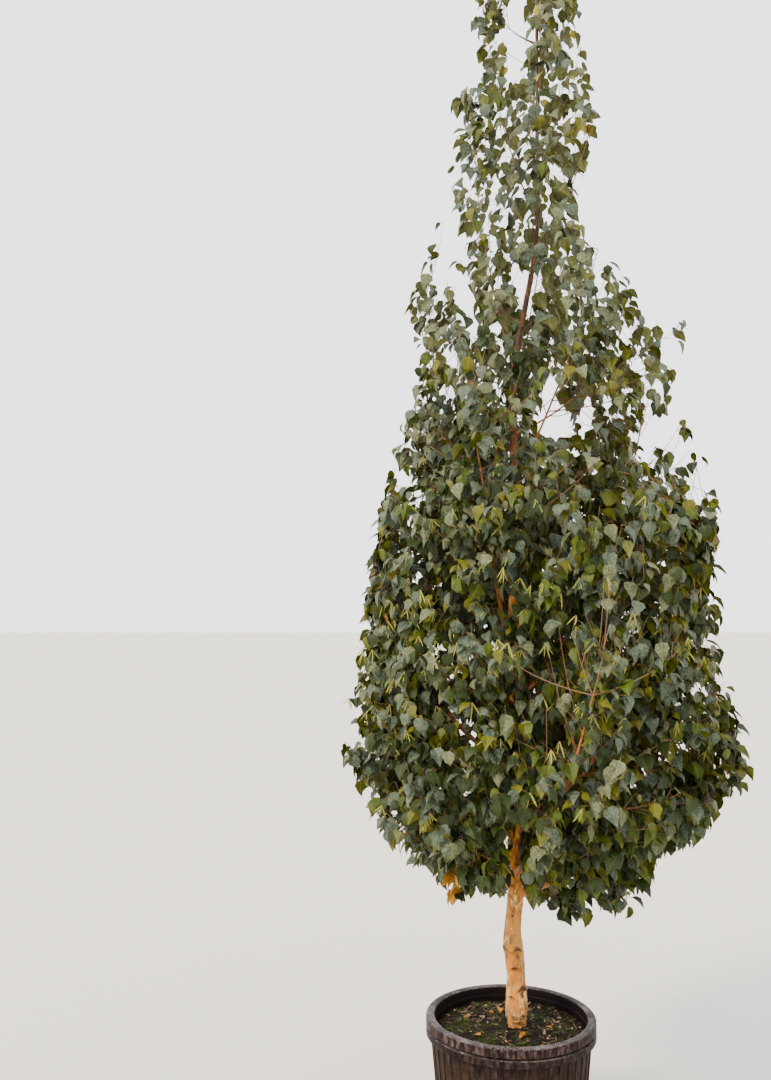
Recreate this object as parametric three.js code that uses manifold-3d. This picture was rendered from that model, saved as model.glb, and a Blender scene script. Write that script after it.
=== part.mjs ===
// A young columnar birch in its nursery pot, which hangs in a second, outer pot. Millimetres, +Z up.
// The origin is the middle of the outer pot's flat underside. +X is the crown's widest side, and the
// front of the tree looks along -Y. One upright trunk runs from the potting mix to the tip. Boughs
// leave it in a spiral and sweep up, and each ends where its mass of foliage starts. Shorter masses
// grow from the trunk itself. Leaves are fewer and larger than life: each stands for a spray.
import * as THREE from "three";
import { mergeVertices } from "three/addons/utils/BufferGeometryUtils.js";
import Module from "manifold-3d";

const wasm = await Module();
wasm.setup();

const GAP = 0.3; // between pieces that touch
const UP = new THREE.Vector3(0, 0, 1);
const GOLDEN_ANGLE = Math.PI * (3 - Math.sqrt(5));

const { lerp, clamp, smoothstep } = THREE.MathUtils;

const finish = (color, roughness) => new THREE.MeshStandardMaterial({ color, roughness, metalness: 0 });
const FINISHES = {
  plastic: finish(0x2b2a2c, 0.5),
  mix: finish(0x2c221a, 0.95),
  trunkBark: finish(0xd9b98a, 0.7),
  boughBark: finish(0x8a5230, 0.65),
  foliage: finish(0x4f6247, 0.7),
};

const birch = new THREE.Group();

function addNode(name, solid, material) {
  const { numProp, vertProperties, triVerts } = solid.getMesh();
  const geometry = new THREE.BufferGeometry();
  const stride = numProp / 3;
  geometry.setAttribute("position", new THREE.BufferAttribute(vertProperties, 3 * stride));
  geometry.setIndex(new THREE.BufferAttribute(triVerts, 1));
  const mesh = new THREE.Mesh(geometry, material);
  mesh.name = name;
  birch.add(mesh);
}

function solidFrom(geometry) {
  const bare = geometry.clone();
  bare.deleteAttribute("normal");
  bare.deleteAttribute("uv");
  const merged = mergeVertices(bare, 1e-4);
  return new wasm.Manifold(
    new wasm.Mesh({
      numProp: 3,
      vertProperties: merged.attributes.position.array,
      triVerts: new Uint32Array(merged.index.array),
    }),
  );
}

// Turns a closed outline of [radius, height] points about the Z axis.
function turned(outline, segments) {
  const points = [...outline, outline[0]].map(([radius, height]) => new THREE.Vector2(radius, height));
  const geometry = new THREE.LatheGeometry(points, segments);
  geometry.rotateX(Math.PI / 2);
  return solidFrom(geometry);
}

// The pots. The growing pot hangs in the outer one: a collar under its lip rests on the outer pot's
// lip, which leaves a groove between the two lips. It holds the potting mix.
const POT_SEGMENTS = 32;
const LIP_ROUND = 5;
const LIP_SKIRT = 5;
const OUTER_POT = {
  rim: 420,
  foot: 0,
  lipRadius: 290,
  lipDepth: 24,
  topRadius: 272,
  footRadius: 236,
  wall: 4,
};
const GROWING_POT = {
  rim: 458,
  foot: 30,
  lipRadius: 290,
  lipDepth: 30,
  topRadius: 264,
  footRadius: 224,
  wall: 4,
  collar: { radius: 279, foot: OUTER_POT.rim + GAP },
};
const MIX_TOP = 420;

// A tapered pot with a turned-down lip. lipRadius is over all, and topRadius is outside its wall.
function potOutline({ foot, rim, lipRadius, lipDepth, topRadius, footRadius, wall, collar }) {
  const underLip = rim - wall - LIP_ROUND;
  const lipFoot = rim - lipDepth;
  const wallTop = collar
    ? [
        [topRadius, collar.foot],
        [collar.radius, collar.foot],
        [collar.radius, underLip],
      ]
    : [
        [topRadius, lipFoot],
        [topRadius, underLip],
      ];
  return [
    [0, foot],
    [footRadius, foot],
    ...wallTop,
    [lipRadius - LIP_SKIRT, underLip],
    [lipRadius - LIP_SKIRT, lipFoot],
    [lipRadius, lipFoot],
    [lipRadius, rim - LIP_ROUND],
    [lipRadius - LIP_ROUND, rim],
    [topRadius - wall + LIP_ROUND, rim],
    [topRadius - wall, rim - LIP_ROUND],
    [topRadius - wall, lipFoot],
    [footRadius - wall, foot + wall],
    [0, foot + wall],
  ];
}

// The radius inside the growing pot's wall at a height.
function insideGrowingPot(height) {
  const { rim, foot, lipDepth, topRadius, footRadius, wall } = GROWING_POT;
  const share = (height - foot - wall) / (rim - lipDepth - foot - wall);
  return lerp(footRadius, topRadius, clamp(share, 0, 1)) - wall - GAP;
}

function addPots() {
  addNode("outer_pot", turned(potOutline(OUTER_POT), POT_SEGMENTS), FINISHES.plastic);
  addNode("growing_pot", turned(potOutline(GROWING_POT), POT_SEGMENTS), FINISHES.plastic);
  const mixFoot = GROWING_POT.foot + GROWING_POT.wall + GAP;
  const edgeDrop = 8;
  const mound = 150; // the mix is level this far out, and falls away to the wall
  const mix = turned(
    [
      [0, mixFoot],
      [insideGrowingPot(mixFoot), mixFoot],
      [insideGrowingPot(MIX_TOP - edgeDrop), MIX_TOP - edgeDrop],
      [mound, MIX_TOP],
      [0, MIX_TOP],
    ],
    POT_SEGMENTS,
  );
  addNode("potting_mix", mix, FINISHES.mix);
}

// The trunk: its line, and its radius by height.
const TRUNK_FOOT = MIX_TOP + GAP;
const TRUNK_TIP = 4130;
const TRUNK_X = 22; // it stands a little off the pot's middle
const FOOT_BEND = { by: -13, height: 715, spread: 95 };
const LEADER_SHIFT = { by: 98, from: 2560, to: 3300 }; // the leader steps over to the right
const TRUNK_SWAY = 9;
const TRUNK_RADIUS = 29;
const TRUNK_TIP_RADIUS = 5.5;
const TREE_TOP = 4490;
const TRUNK_TAPER = 0.65;
const ROOT_FLARE = { radius: 14, height: 85 };
const OLD_COLLAR = { radius: 6, height: 520, spread: 90 }; // the swelling where low boughs were pruned

const bell = (value, middle, spread) => Math.exp(-(((value - middle) / spread) ** 2));

function trunkPoint(height) {
  const climbed = (height - TRUNK_FOOT) / (TRUNK_TIP - TRUNK_FOOT);
  const shift = LEADER_SHIFT.by * smoothstep(height, LEADER_SHIFT.from, LEADER_SHIFT.to);
  const bend = FOOT_BEND.by * bell(height, FOOT_BEND.height, FOOT_BEND.spread);
  const sway = TRUNK_SWAY * Math.sin(climbed * 3 * Math.PI);
  return new THREE.Vector3(TRUNK_X + shift + bend, sway, height);
}

function trunkRadius(height) {
  const above = height - TRUNK_FOOT;
  const left = clamp((TRUNK_TIP - height) / (TRUNK_TIP - TRUNK_FOOT), 0, 1);
  const flare = ROOT_FLARE.radius * Math.exp(-above / ROOT_FLARE.height);
  const collar = OLD_COLLAR.radius * bell(height, OLD_COLLAR.height, OLD_COLLAR.spread);
  return Math.max(TRUNK_RADIUS * left ** TRUNK_TAPER + flare + collar, TRUNK_TIP_RADIUS);
}

// Bends a closed cylinder along path(share) with radius(share), where share runs from 0 to 1. Its
// rings are square to the path, or all square to one heading.
const TANGENT_STEP = 1e-3;

function limb(path, radius, sides, steps, heading) {
  const geometry = new THREE.CylinderGeometry(1, 1, 1, sides, steps);
  const position = geometry.attributes.position;
  const local = new THREE.Vector3();
  for (let i = 0; i < position.count; i++) {
    local.fromBufferAttribute(position, i);
    const share = local.y + 0.5;
    const ahead = path(Math.min(share + TANGENT_STEP, 1));
    const along = heading ?? ahead.sub(path(Math.max(share - TANGENT_STEP, 0))).normalize();
    const across = new THREE.Vector3(0, 1, 0).cross(along).normalize();
    const other = along.clone().cross(across);
    const out = across.multiplyScalar(local.x).add(other.multiplyScalar(-local.z));
    const point = path(share).addScaledVector(out, radius(share));
    position.setXYZ(i, point.x, point.y, point.z);
  }
  return solidFrom(geometry);
}

const TRUNK_MESH = { sides: 10, rings: 24, crowding: 1.35 }; // the rings crowd together at the flare

function trunkSolid(grow) {
  const { sides, rings, crowding } = TRUNK_MESH;
  const height = (share) => lerp(TRUNK_FOOT, TRUNK_TIP, share ** crowding);
  const radius = (share) => trunkRadius(height(share)) + grow;
  return limb((share) => trunkPoint(height(share)), radius, sides, rings, UP);
}

// The crown's reach from the trunk's line to each side, by height, with the front and back between them.
const REACH_RIGHT = [
  [740, 90],
  [850, 430],
  [1010, 660],
  [1280, 830],
  [2200, 745],
  [2900, 600],
  [3060, 390],
  [3330, 260],
  [4080, 205],
  [4510, 50],
];
const REACH_LEFT = [
  [740, 60],
  [1060, 470],
  [1250, 590],
  [1600, 600],
  [2300, 470],
  [2600, 400],
  [3200, 395],
  [4060, 215],
  [4510, 50],
];

// Reads a rising table of [height, reach] pairs.
function between(table, height) {
  const last = table.length - 1;
  const above = table.findIndex(([at]) => at > height);
  if (above === 0) return table[0][1];
  if (above < 0) return table[last][1];
  const [low, lowReach] = table[above - 1];
  const [high, highReach] = table[above];
  return lerp(lowReach, highReach, (height - low) / (high - low));
}

function crownReach(height, turn) {
  return lerp(between(REACH_LEFT, height), between(REACH_RIGHT, height), (1 + Math.cos(turn)) / 2);
}

// A repeatable number from 0 to 1 for each mass, twig and use.
function chance(mass, twig, use) {
  const wave = Math.sin(mass * 127.1 + twig * 311.7 + use * 74.7) * 43758.5453;
  return wave - Math.floor(wave);
}

// The boughs, from the lowest up. Each runs on into a shoot that its mass of foliage grows round.
const FIRST_ROOT = 860; // no limb leaves the trunk lower than this, and few share a height
const ROOT_SPACING = 36;
const BOUGHS = 16;
const BOUGH_TIPS = { lowest: 1280, highest: 4160, crowding: 1.08 };
const BOUGH_RISE = { lowest: 0.62, highest: 3.2 }; // how far it climbs for each millimetre out
const BOUGH_SHARE = { lowest: 0.36, highest: 0.24 }; // of its path that is bare limb
const BOUGH_FIRST_TURN = 0.1;
const BOUGH_RADIUS = { share: 0.44, most: 12.5, least: 7, tip: 0.7 }; // share is of the trunk's

// Short masses that grow from the trunk between the boughs. The last is the leader's own tip.
const TRUNK_MASSES = 12;
const TRUNK_MASS_TIPS = { lowest: 1010, highest: 3980, crowding: 1.1 };
const TRUNK_MASS_REACH = 0.5; // of the crown's reach
const TRUNK_MASS_RISE = 0.76;
const TRUNK_MASS_FIRST_TURN = 4.2;
const TRUNK_MASS_RADIUS = 6; // of its stem, at the trunk

// One swept line from the trunk, at or above a lowest height, to a tip on the crown's outline. It
// bows out and down by these shares of its reach and its climb.
const BOW = { out: 0.16, down: 0.14 };

function sweep(tipHeight, lowestRoot, turn, reach, rise) {
  const rootHeight = Math.max(tipHeight - reach * rise, lowestRoot);
  const root = trunkPoint(rootHeight);
  const side = new THREE.Vector3(Math.cos(turn), Math.sin(turn), 0);
  const tip = trunkPoint(Math.min(tipHeight, TRUNK_TIP)).addScaledVector(side, reach).setZ(tipHeight);
  const elbow = root.clone().lerp(tip, 0.5).addScaledVector(side, reach * BOW.out);
  elbow.z -= (tipHeight - rootHeight) * BOW.down;
  return new THREE.QuadraticBezierCurve3(root, elbow, tip);
}

// Turns a new sweep on round the trunk until it stays clear of those planned before it.
const SWEEP_STEPS = 24;
const SWEEP_CLEARANCE = 34;
const SWEEP_TURNS = { by: 0.28, most: 20 };
const planned = [];

function clearSweep(tipHeight, lowestRoot, firstTurn, reachShare, rise) {
  for (let attempt = 0; ; attempt++) {
    const turn = firstTurn + attempt * SWEEP_TURNS.by;
    const path = sweep(tipHeight, lowestRoot, turn, crownReach(tipHeight, turn) * reachShare, rise);
    const points = path.getPoints(SWEEP_STEPS).slice(1);
    const clear = points.every((point) =>
      planned.every((other) => other.distanceTo(point) > SWEEP_CLEARANCE),
    );
    if (!clear && attempt < SWEEP_TURNS.most) continue;
    planned.push(...points);
    return path;
  }
}

const boughs = [];
const masses = [];

function planCrown() {
  for (let i = 0; i < BOUGHS; i++) {
    const share = i / (BOUGHS - 1);
    const tipHeight = lerp(BOUGH_TIPS.lowest, BOUGH_TIPS.highest, share ** BOUGH_TIPS.crowding);
    const turn = BOUGH_FIRST_TURN + i * GOLDEN_ANGLE;
    const rise = lerp(BOUGH_RISE.lowest, BOUGH_RISE.highest, share);
    const path = clearSweep(tipHeight, FIRST_ROOT + i * ROOT_SPACING, turn, 1, rise);
    const bare = lerp(BOUGH_SHARE.lowest, BOUGH_SHARE.highest, share);
    const { share: thickness, least, most, tip: thinned } = BOUGH_RADIUS;
    const root = clamp(trunkRadius(path.v0.z) * thickness, least, most);
    boughs.push({ path, bare, root, tip: root * thinned });
    masses.push({ name: `bough_foliage_${i + 1}`, path, from: bare, root: root * thinned });
  }
  for (let i = 0; i < TRUNK_MASSES - 1; i++) {
    const share = i / (TRUNK_MASSES - 2);
    const { lowest, highest, crowding } = TRUNK_MASS_TIPS;
    const tipHeight = lerp(lowest, highest, share ** crowding);
    const lowestRoot = FIRST_ROOT + (i + 0.5) * ROOT_SPACING;
    const turn = TRUNK_MASS_FIRST_TURN + i * GOLDEN_ANGLE;
    const path = clearSweep(tipHeight, lowestRoot, turn, TRUNK_MASS_REACH, TRUNK_MASS_RISE);
    const name = `trunk_foliage_${i + 1}`;
    masses.push({ name, path, from: 0, root: TRUNK_MASS_RADIUS, besideTrunk: true });
  }
  const leaderTip = trunkPoint(TRUNK_TIP).setZ(TREE_TOP);
  const leader = new THREE.QuadraticBezierCurve3(
    trunkPoint(TRUNK_TIP),
    trunkPoint(TRUNK_TIP).lerp(leaderTip, 0.5),
    leaderTip,
  );
  masses.push({ name: "leader_foliage", path: leader, from: 0, root: TRUNK_TIP_RADIUS });
}

// What each mass has to keep clear of.
const LIMB_SAMPLES = 24;
const SPINE_SAMPLES = 7;
const SPINE_START = 0.25;

function sampleLimbs() {
  const samples = [];
  for (let k = 0; k <= 3 * LIMB_SAMPLES; k++) {
    const height = lerp(TRUNK_FOOT, TRUNK_TIP, k / (3 * LIMB_SAMPLES));
    samples.push({ at: trunkPoint(height), radius: trunkRadius(height) });
  }
  for (const { path, bare, root, tip } of boughs)
    for (let k = 0; k <= LIMB_SAMPLES; k++) {
      const share = k / LIMB_SAMPLES;
      samples.push({ at: path.getPoint(share * bare), radius: lerp(root, tip, share) });
    }
  for (const { path, root } of masses.filter(({ besideTrunk }) => besideTrunk))
    for (let k = 0; k <= LIMB_SAMPLES; k++)
      samples.push({ at: path.getPoint((k / LIMB_SAMPLES) * SPINE_START), radius: root });
  return samples;
}

function spineOf({ path, from }) {
  const start = Math.max(from, SPINE_START);
  const last = SPINE_SAMPLES - 1;
  return Array.from({ length: SPINE_SAMPLES }, (_, k) => path.getPoint(lerp(start, 1, k / last)));
}

// The distance from a point to the nearest piece of a line of points.
const piece = new THREE.Line3();
const nearest = new THREE.Vector3();
function distanceTo(line, point) {
  let least = Infinity;
  for (let k = 0; k + 1 < line.length; k++) {
    piece.set(line[k], line[k + 1]).closestPointToPoint(point, true, nearest);
    least = Math.min(least, nearest.distanceTo(point));
  }
  return least;
}

const SPACE_MARGIN = 5; // between a mass and its neighbours' spaces
const REACH_SLACK = 22; // leaves may pass the crown's reach by this much
const LIMB_CLEARANCE = 18;
const LOWEST_LEAF = 740;

planCrown();
const limbSamples = sampleLimbs();
const spines = masses.map(spineOf);

function inOwnSpace(mass, point) {
  if (point.z < LOWEST_LEAF) return false;
  const middle = trunkPoint(Math.min(point.z, TRUNK_TIP));
  const out = Math.hypot(point.x - middle.x, point.y - middle.y);
  const turn = Math.atan2(point.y - middle.y, point.x - middle.x);
  if (out > crownReach(point.z, turn) + REACH_SLACK) return false;
  const own = distanceTo(spines[mass], point) + 2 * SPACE_MARGIN;
  return spines.every((spine, other) => other === mass || distanceTo(spine, point) > own);
}

const clearOfLimbs = (point, clearance) =>
  limbSamples.every(({ at, radius }) => at.distanceTo(point) > radius + clearance);

// A leaf is flat and four-sided, widest near its base. It hangs on a twig's tip or beside it.
const LEAF = { length: 205, width: 146, thick: 5, widest: 0.38, smallest: 0.6, deepRoot: 0.8 };
const LEAF_TRIES = 6;
// Where a leaf is tested, as shares of its length and half its width.
const LEAF_SPOTS = [
  ...[0.25, 0.55, 0.8, 1].map((length) => [length, 0]),
  ...[-1, 1].map((side) => [LEAF.widest, side]),
  ...[-1, 1].map((side) => [0.3, 0.5 * side]),
  ...[-1, 1].map((side) => [0.7, 0.4 * side]),
];

// Twigs leave a stem in a spiral. Each ends in one leaf and carries others to both sides.
const TWIG = {
  length: 320,
  shortest: 80,
  radius: 3.1,
  tip: 2.6,
  angle: 0.9, // from its stem, in radians
  step: 66,
  leafStep: 125,
  bareFoot: 40,
};
const TWIG_TRIES = 7;
const STEM_TIP_RADIUS = 5.4;
const SHARPEST_FOLD = -0.45; // the cosine between a twig and the leaf on its tip
const SIDE_LEAF_TURN = 0.8;
const TWIGS_FROM = 0.1; // of the stem
const TWIGS_TO = 0.96;
const STEM_LEAVES = { count: 5, step: 0.09 };

// Leaves are largest where the crown is widest, and hang outwards at angles in radians.
const FULL_LEAF_REACH = 640;
const HANG = { least: 0.35, most: 1.3, turn: 1.1, roll: 0.55, smaller: 0.82, larger: 1.1 };

const leafSizeAt = (height) => clamp(crownReach(height, 0) / FULL_LEAF_REACH, LEAF.smallest, 1);

function leafPose(root, outward, luck) {
  const droop = lerp(HANG.least, HANG.most, luck(0.31));
  const turn = lerp(-HANG.turn, HANG.turn, luck(0.57));
  const roll = lerp(-HANG.roll, HANG.roll, luck(0.83));
  const along = outward.clone().applyAxisAngle(UP, turn);
  along.multiplyScalar(Math.cos(droop)).addScaledVector(UP, -Math.sin(droop));
  const across = along.clone().cross(UP).normalize().applyAxisAngle(along, roll);
  const size = leafSizeAt(root.z) * lerp(HANG.smaller, HANG.larger, luck(0.13));
  return { root, along, across, size };
}

function onLeaf({ root, along, across, size }, length, width) {
  return root
    .clone()
    .addScaledVector(along, length * LEAF.length * size)
    .addScaledVector(across, width * LEAF.width * 0.5 * size);
}

// Four points round a middle, square to a heading, with the first of them towards `across`.
function ring(middle, across, heading, halfWidth, halfThick) {
  const ahead = heading.clone().normalize();
  const side = across.clone().addScaledVector(ahead, -across.dot(ahead)).normalize();
  const up = side.clone().cross(ahead);
  return [[1, 0], [0, 1], [-1, 0], [0, -1]].map(([w, t]) =>
    middle.clone().addScaledVector(side, w * halfWidth).addScaledVector(up, t * halfThick),
  );
}

function leafRing(pose) {
  const { along, across, size } = pose;
  return ring(onLeaf(pose, LEAF.widest, 0), across, along, (LEAF.width * size) / 2, LEAF.thick / 2);
}

// Skins a row of four-sided rings, or of single points at its ends, into one closed solid.
function skinned(rows) {
  const corners = rows.flat();
  const triangles = [];
  let first = 0;
  for (let row = 0; row + 1 < rows.length; row++) {
    const next = first + rows[row].length;
    for (let side = 0; side < 4; side++) {
      const [a, b] = [side, (side + 1) % 4].map((k) => first + (k % rows[row].length));
      const [c, d] = [side, (side + 1) % 4].map((k) => next + (k % rows[row + 1].length));
      if (a !== b) triangles.push([a, c, b]);
      if (c !== d) triangles.push([b, c, d]);
    }
    first = next;
  }
  if (rows[0].length === 4) triangles.push([0, 1, 2], [0, 2, 3]);
  const positions = new Float32Array(corners.flatMap((corner) => corner.toArray()));
  return new wasm.Manifold(
    new wasm.Mesh({ numProp: 3, vertProperties: positions, triVerts: new Uint32Array(triangles.flat()) }),
  );
}

function sideLeaf(pose) {
  const root = pose.root.clone().addScaledVector(pose.along, -LEAF.deepRoot);
  return skinned([[root], leafRing(pose), [onLeaf(pose, 1, 0)]]);
}

function leafyTwig(pose, from, heading) {
  const root = ring(from, pose.across, heading, TWIG.radius, TWIG.radius);
  const tip = ring(pose.root, pose.across, heading.clone().add(pose.along), TWIG.tip, TWIG.tip);
  return skinned([root, tip, leafRing(pose), [onLeaf(pose, 1, 0)]]);
}

const crosses = (solid, others) => others.some((other) => !solid.intersect(other).isEmpty());

function poseFits(mass, pose) {
  return LEAF_SPOTS.every(([length, width]) => {
    const point = onLeaf(pose, length, width);
    return inOwnSpace(mass, point) && clearOfLimbs(point, LIMB_CLEARANCE);
  });
}

// Adds a leaf to a mass, in the first of a few poses that crosses nothing but the limb it grows on.
function addSideLeaf(grown, parent, root, outward, luck) {
  for (let attempt = 0; attempt < LEAF_TRIES; attempt++) {
    const pose = leafPose(root, outward, (use) => luck(use + attempt * 7));
    if (!poseFits(grown.mass, pose)) continue;
    const leaf = sideLeaf(pose);
    if (crosses(leaf, grown.pieces.filter((piece) => piece !== parent))) continue;
    grown.pieces.push(leaf);
    return;
  }
}

function twigFits(mass, from, to) {
  const steps = 8;
  for (let k = 2; k <= steps; k++) {
    const point = from.clone().lerp(to, k / steps);
    if (!inOwnSpace(mass, point) || !clearOfLimbs(point, LIMB_CLEARANCE / 2)) return false;
  }
  return true;
}

function twigHeading(along, turn, angle) {
  const side = new THREE.Vector3(0, 1, 0).cross(along).normalize().applyAxisAngle(along, turn);
  return along.clone().multiplyScalar(Math.cos(angle)).addScaledVector(side, Math.sin(angle));
}

function outwardAt(point) {
  const middle = trunkPoint(Math.min(point.z, TRUNK_TIP));
  return point.clone().sub(middle).setZ(0).normalize();
}

function addTwig(grown, from, along, twig) {
  for (let attempt = 0; attempt < TWIG_TRIES; attempt++) {
    const luck = (use) => chance(grown.mass, twig, use + attempt * 7);
    const turn = (twig + attempt) * GOLDEN_ANGLE + grown.mass;
    const heading = twigHeading(along, turn, TWIG.angle * lerp(0.75, 1.25, luck(0.71)));
    const start = TWIG.length * leafSizeAt(from.z) * lerp(0.65, 1, luck(0.11));
    for (let length = start; length > TWIG.shortest; length *= 0.8) {
      const tip = from.clone().addScaledVector(heading, length);
      const pose = leafPose(tip, outwardAt(tip), luck);
      if (heading.dot(pose.along) < SHARPEST_FOLD) continue;
      if (!twigFits(grown.mass, from, tip) || !poseFits(grown.mass, pose)) continue;
      const solid = leafyTwig(pose, from, heading);
      if (crosses(solid, grown.pieces.slice(1))) continue;
      grown.pieces.push(solid);
      addTwigLeaves(grown, solid, { tip, heading, length }, luck);
      return;
    }
  }
}

function addTwigLeaves(grown, twigSolid, { tip, heading, length }, luck) {
  const step = TWIG.leafStep * leafSizeAt(tip.z);
  for (let leaf = 1; leaf * step < length - TWIG.bareFoot; leaf++) {
    const root = tip.clone().addScaledVector(heading, -leaf * step);
    const outward = outwardAt(tip).applyAxisAngle(UP, leaf % 2 ? SIDE_LEAF_TURN : -SIDE_LEAF_TURN);
    addSideLeaf(grown, twigSolid, root, outward, (use) => luck(use + leaf));
  }
}

function growMass(mass) {
  const { path, from, root, besideTrunk } = masses[mass];
  const length = path.getLength();
  const start = besideTrunk ? 0 : from + GAP / length;
  const alongStem = (share) => lerp(start, 1, share);
  const stem = (share) => path.getPoint(alongStem(share));
  const stemSolid = limb(stem, (share) => lerp(root, STEM_TIP_RADIUS, share), 4, 3);
  const grown = { mass, pieces: [stemSolid] };
  const twigs = Math.round((length * (1 - start)) / (TWIG.step * leafSizeAt(path.v2.z)));
  for (let twig = 0; twig < twigs; twig++) {
    const share = lerp(TWIGS_FROM, TWIGS_TO, (twig + 0.5) / twigs);
    addTwig(grown, stem(share), path.getTangent(alongStem(share)), twig);
  }
  for (let leaf = 0; leaf < STEM_LEAVES.count; leaf++) {
    const outward = new THREE.Vector3(1, 0, 0).applyAxisAngle(UP, leaf * GOLDEN_ANGLE + mass);
    const luck = (use) => chance(mass, twigs, use + leaf);
    addSideLeaf(grown, stemSolid, stem(TWIGS_TO - STEM_LEAVES.step * leaf), outward, luck);
  }
  return grown.pieces;
}

// Fuses the pieces of a mass, evens out its tiniest edges and drops any loose scrap.
const FINEST_EDGE = 0.05;

function fused(pieces) {
  const parts = wasm.Manifold.union(pieces).simplify(FINEST_EDGE).decompose();
  return parts.reduce((most, part) => (part.volume() > most.volume() ? part : most));
}

function addTree() {
  addNode("trunk", trunkSolid(0), FINISHES.trunkBark);
  const trunkSpace = trunkSolid(GAP);
  boughs.forEach(({ path, bare, root, tip }, i) => {
    const bough = limb((share) => path.getPoint(share * bare), (share) => lerp(root, tip, share), 6, 3);
    addNode(`bough_${i + 1}`, fused([bough.subtract(trunkSpace)]), FINISHES.boughBark);
  });
  masses.forEach(({ name, besideTrunk }, index) => {
    const whole = fused(growMass(index));
    const clear = besideTrunk ? fused([whole.subtract(trunkSpace)]) : whole;
    addNode(name, clear, FINISHES.foliage);
  });
}

addPots();
addTree();

export default birch;
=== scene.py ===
# A young columnar birch in its nursery pot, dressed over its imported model. Metres, +Z up, and the
# front of the tree looks along -Y. The sections follow the tree as it is put together: the pots, the
# potting mix, the trunk, the boughs, the twigs, the leaves and the catkins, and then the studio.
import math

import bmesh
import bpy
import numpy as np
from mathutils import Matrix, Vector, noise


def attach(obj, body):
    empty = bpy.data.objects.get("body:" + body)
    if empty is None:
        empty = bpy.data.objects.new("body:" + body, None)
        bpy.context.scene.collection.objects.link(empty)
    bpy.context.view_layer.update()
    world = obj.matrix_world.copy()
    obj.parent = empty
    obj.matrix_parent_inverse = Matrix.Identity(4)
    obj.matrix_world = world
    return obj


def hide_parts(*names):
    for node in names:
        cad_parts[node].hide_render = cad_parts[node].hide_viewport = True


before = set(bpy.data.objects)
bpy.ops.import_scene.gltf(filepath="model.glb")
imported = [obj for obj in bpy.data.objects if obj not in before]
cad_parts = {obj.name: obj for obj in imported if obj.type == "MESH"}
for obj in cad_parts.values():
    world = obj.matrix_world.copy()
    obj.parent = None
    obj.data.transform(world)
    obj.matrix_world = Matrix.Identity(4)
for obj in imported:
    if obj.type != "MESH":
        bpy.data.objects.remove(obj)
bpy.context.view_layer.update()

# The outer pot. A tapered tub moulded in black plastic, with a turned-down lip and ribs down its
# wall. It has stood in a dusty yard, so it is brown lower down, and the faces that look up are grey
# with chalking and with a painted sheen.
POT_SEGMENTS = 120
OUTER_POT_PROFILE = [
    (0.0, 0.0), (0.2360, 0.0), (0.2720, 0.396), (0.2720, 0.411), (0.2850, 0.411), (0.2850, 0.396),
    (0.2900, 0.396), (0.2900, 0.4195), (0.2680, 0.4195), (0.2680, 0.396), (0.2320, 0.004), (0.0, 0.004),
]
OUTER_POT_CORNER = 0.0021
POT_RIBS = 44
RIB = {"width": 0.005, "proud": 0.0028, "foot": 0.035, "top": 0.388, "corner": 0.0011}


class Paint:
    """A procedural material. Its methods add nodes and give back their outputs."""

    def __init__(self, name, roughness, specular):
        self.material = bpy.data.materials.new(name)
        self.material.use_nodes = True
        self.shader = self.material.node_tree.nodes["Principled BSDF"]
        self.shader.inputs["Roughness"].default_value = roughness
        self.shader.inputs["Specular IOR Level"].default_value = specular

    def wire(self, value, socket):
        if isinstance(value, bpy.types.NodeSocket):
            self.material.node_tree.links.new(value, socket)
        else:
            socket.default_value = value

    def node(self, kind, wired=None, **set_up):
        node = self.material.node_tree.nodes.new(kind)
        for name, value in set_up.items():
            setattr(node, name, value)
        for name, value in (wired or {}).items():
            self.wire(value, node.inputs[name])
        return node

    def place(self, stretch=(1, 1, 1)):
        spot = self.node("ShaderNodeTexCoord").outputs["Object"]
        return self.node("ShaderNodeMapping", {"Vector": spot, "Scale": stretch}).outputs[0]

    def parts(self, vector):
        return self.node("ShaderNodeSeparateXYZ", {"Vector": vector}).outputs

    def grain(self, spot, scale, detail=4.0, rough=0.6, twist=0.0):
        wired = {"Vector": spot, "Scale": scale, "Detail": detail, "Roughness": rough, "Distortion": twist}
        return self.node("ShaderNodeTexNoise", wired).outputs[0]

    def ramped(self, factor, *stops):
        node = self.node("ShaderNodeValToRGB", {"Fac": factor})
        while len(node.color_ramp.elements) < len(stops):
            node.color_ramp.elements.new(0.5)
        for element, (position, colour) in zip(node.color_ramp.elements, stops):
            element.position = position
            element.color = (*colour, 1)
        return node.outputs[0]

    def between(self, factor, low, high, to_low=0.0, to_high=1.0):
        wired = {"Value": factor, "From Min": low, "From Max": high, "To Min": to_low, "To Max": to_high}
        return self.node("ShaderNodeMapRange", wired, interpolation_type="SMOOTHSTEP").outputs[0]

    def worked(self, operation, *values):
        return self.node("ShaderNodeMath", dict(enumerate(values)), operation=operation).outputs[0]

    def plus(self, first, second):
        return self.worked("ADD", first, second)

    def times(self, first, second):
        return self.worked("MULTIPLY", first, second)

    def painted(self, factor, under, over):
        under, over = ((*colour, 1) if isinstance(colour, tuple) else colour for colour in (under, over))
        return self.node("ShaderNodeMix", {0: factor, 6: under, 7: over}, data_type="RGBA").outputs[2]

    def finished(self, colour, relief, strength, depth, roughness=None):
        bumps = self.node("ShaderNodeBump", {"Height": relief, "Strength": strength, "Distance": depth})
        self.wire(bumps.outputs[0], self.shader.inputs["Normal"])
        self.wire(colour, self.shader.inputs["Base Color"])
        if roughness is not None:
            self.wire(roughness, self.shader.inputs["Roughness"])
        return self.material


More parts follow.
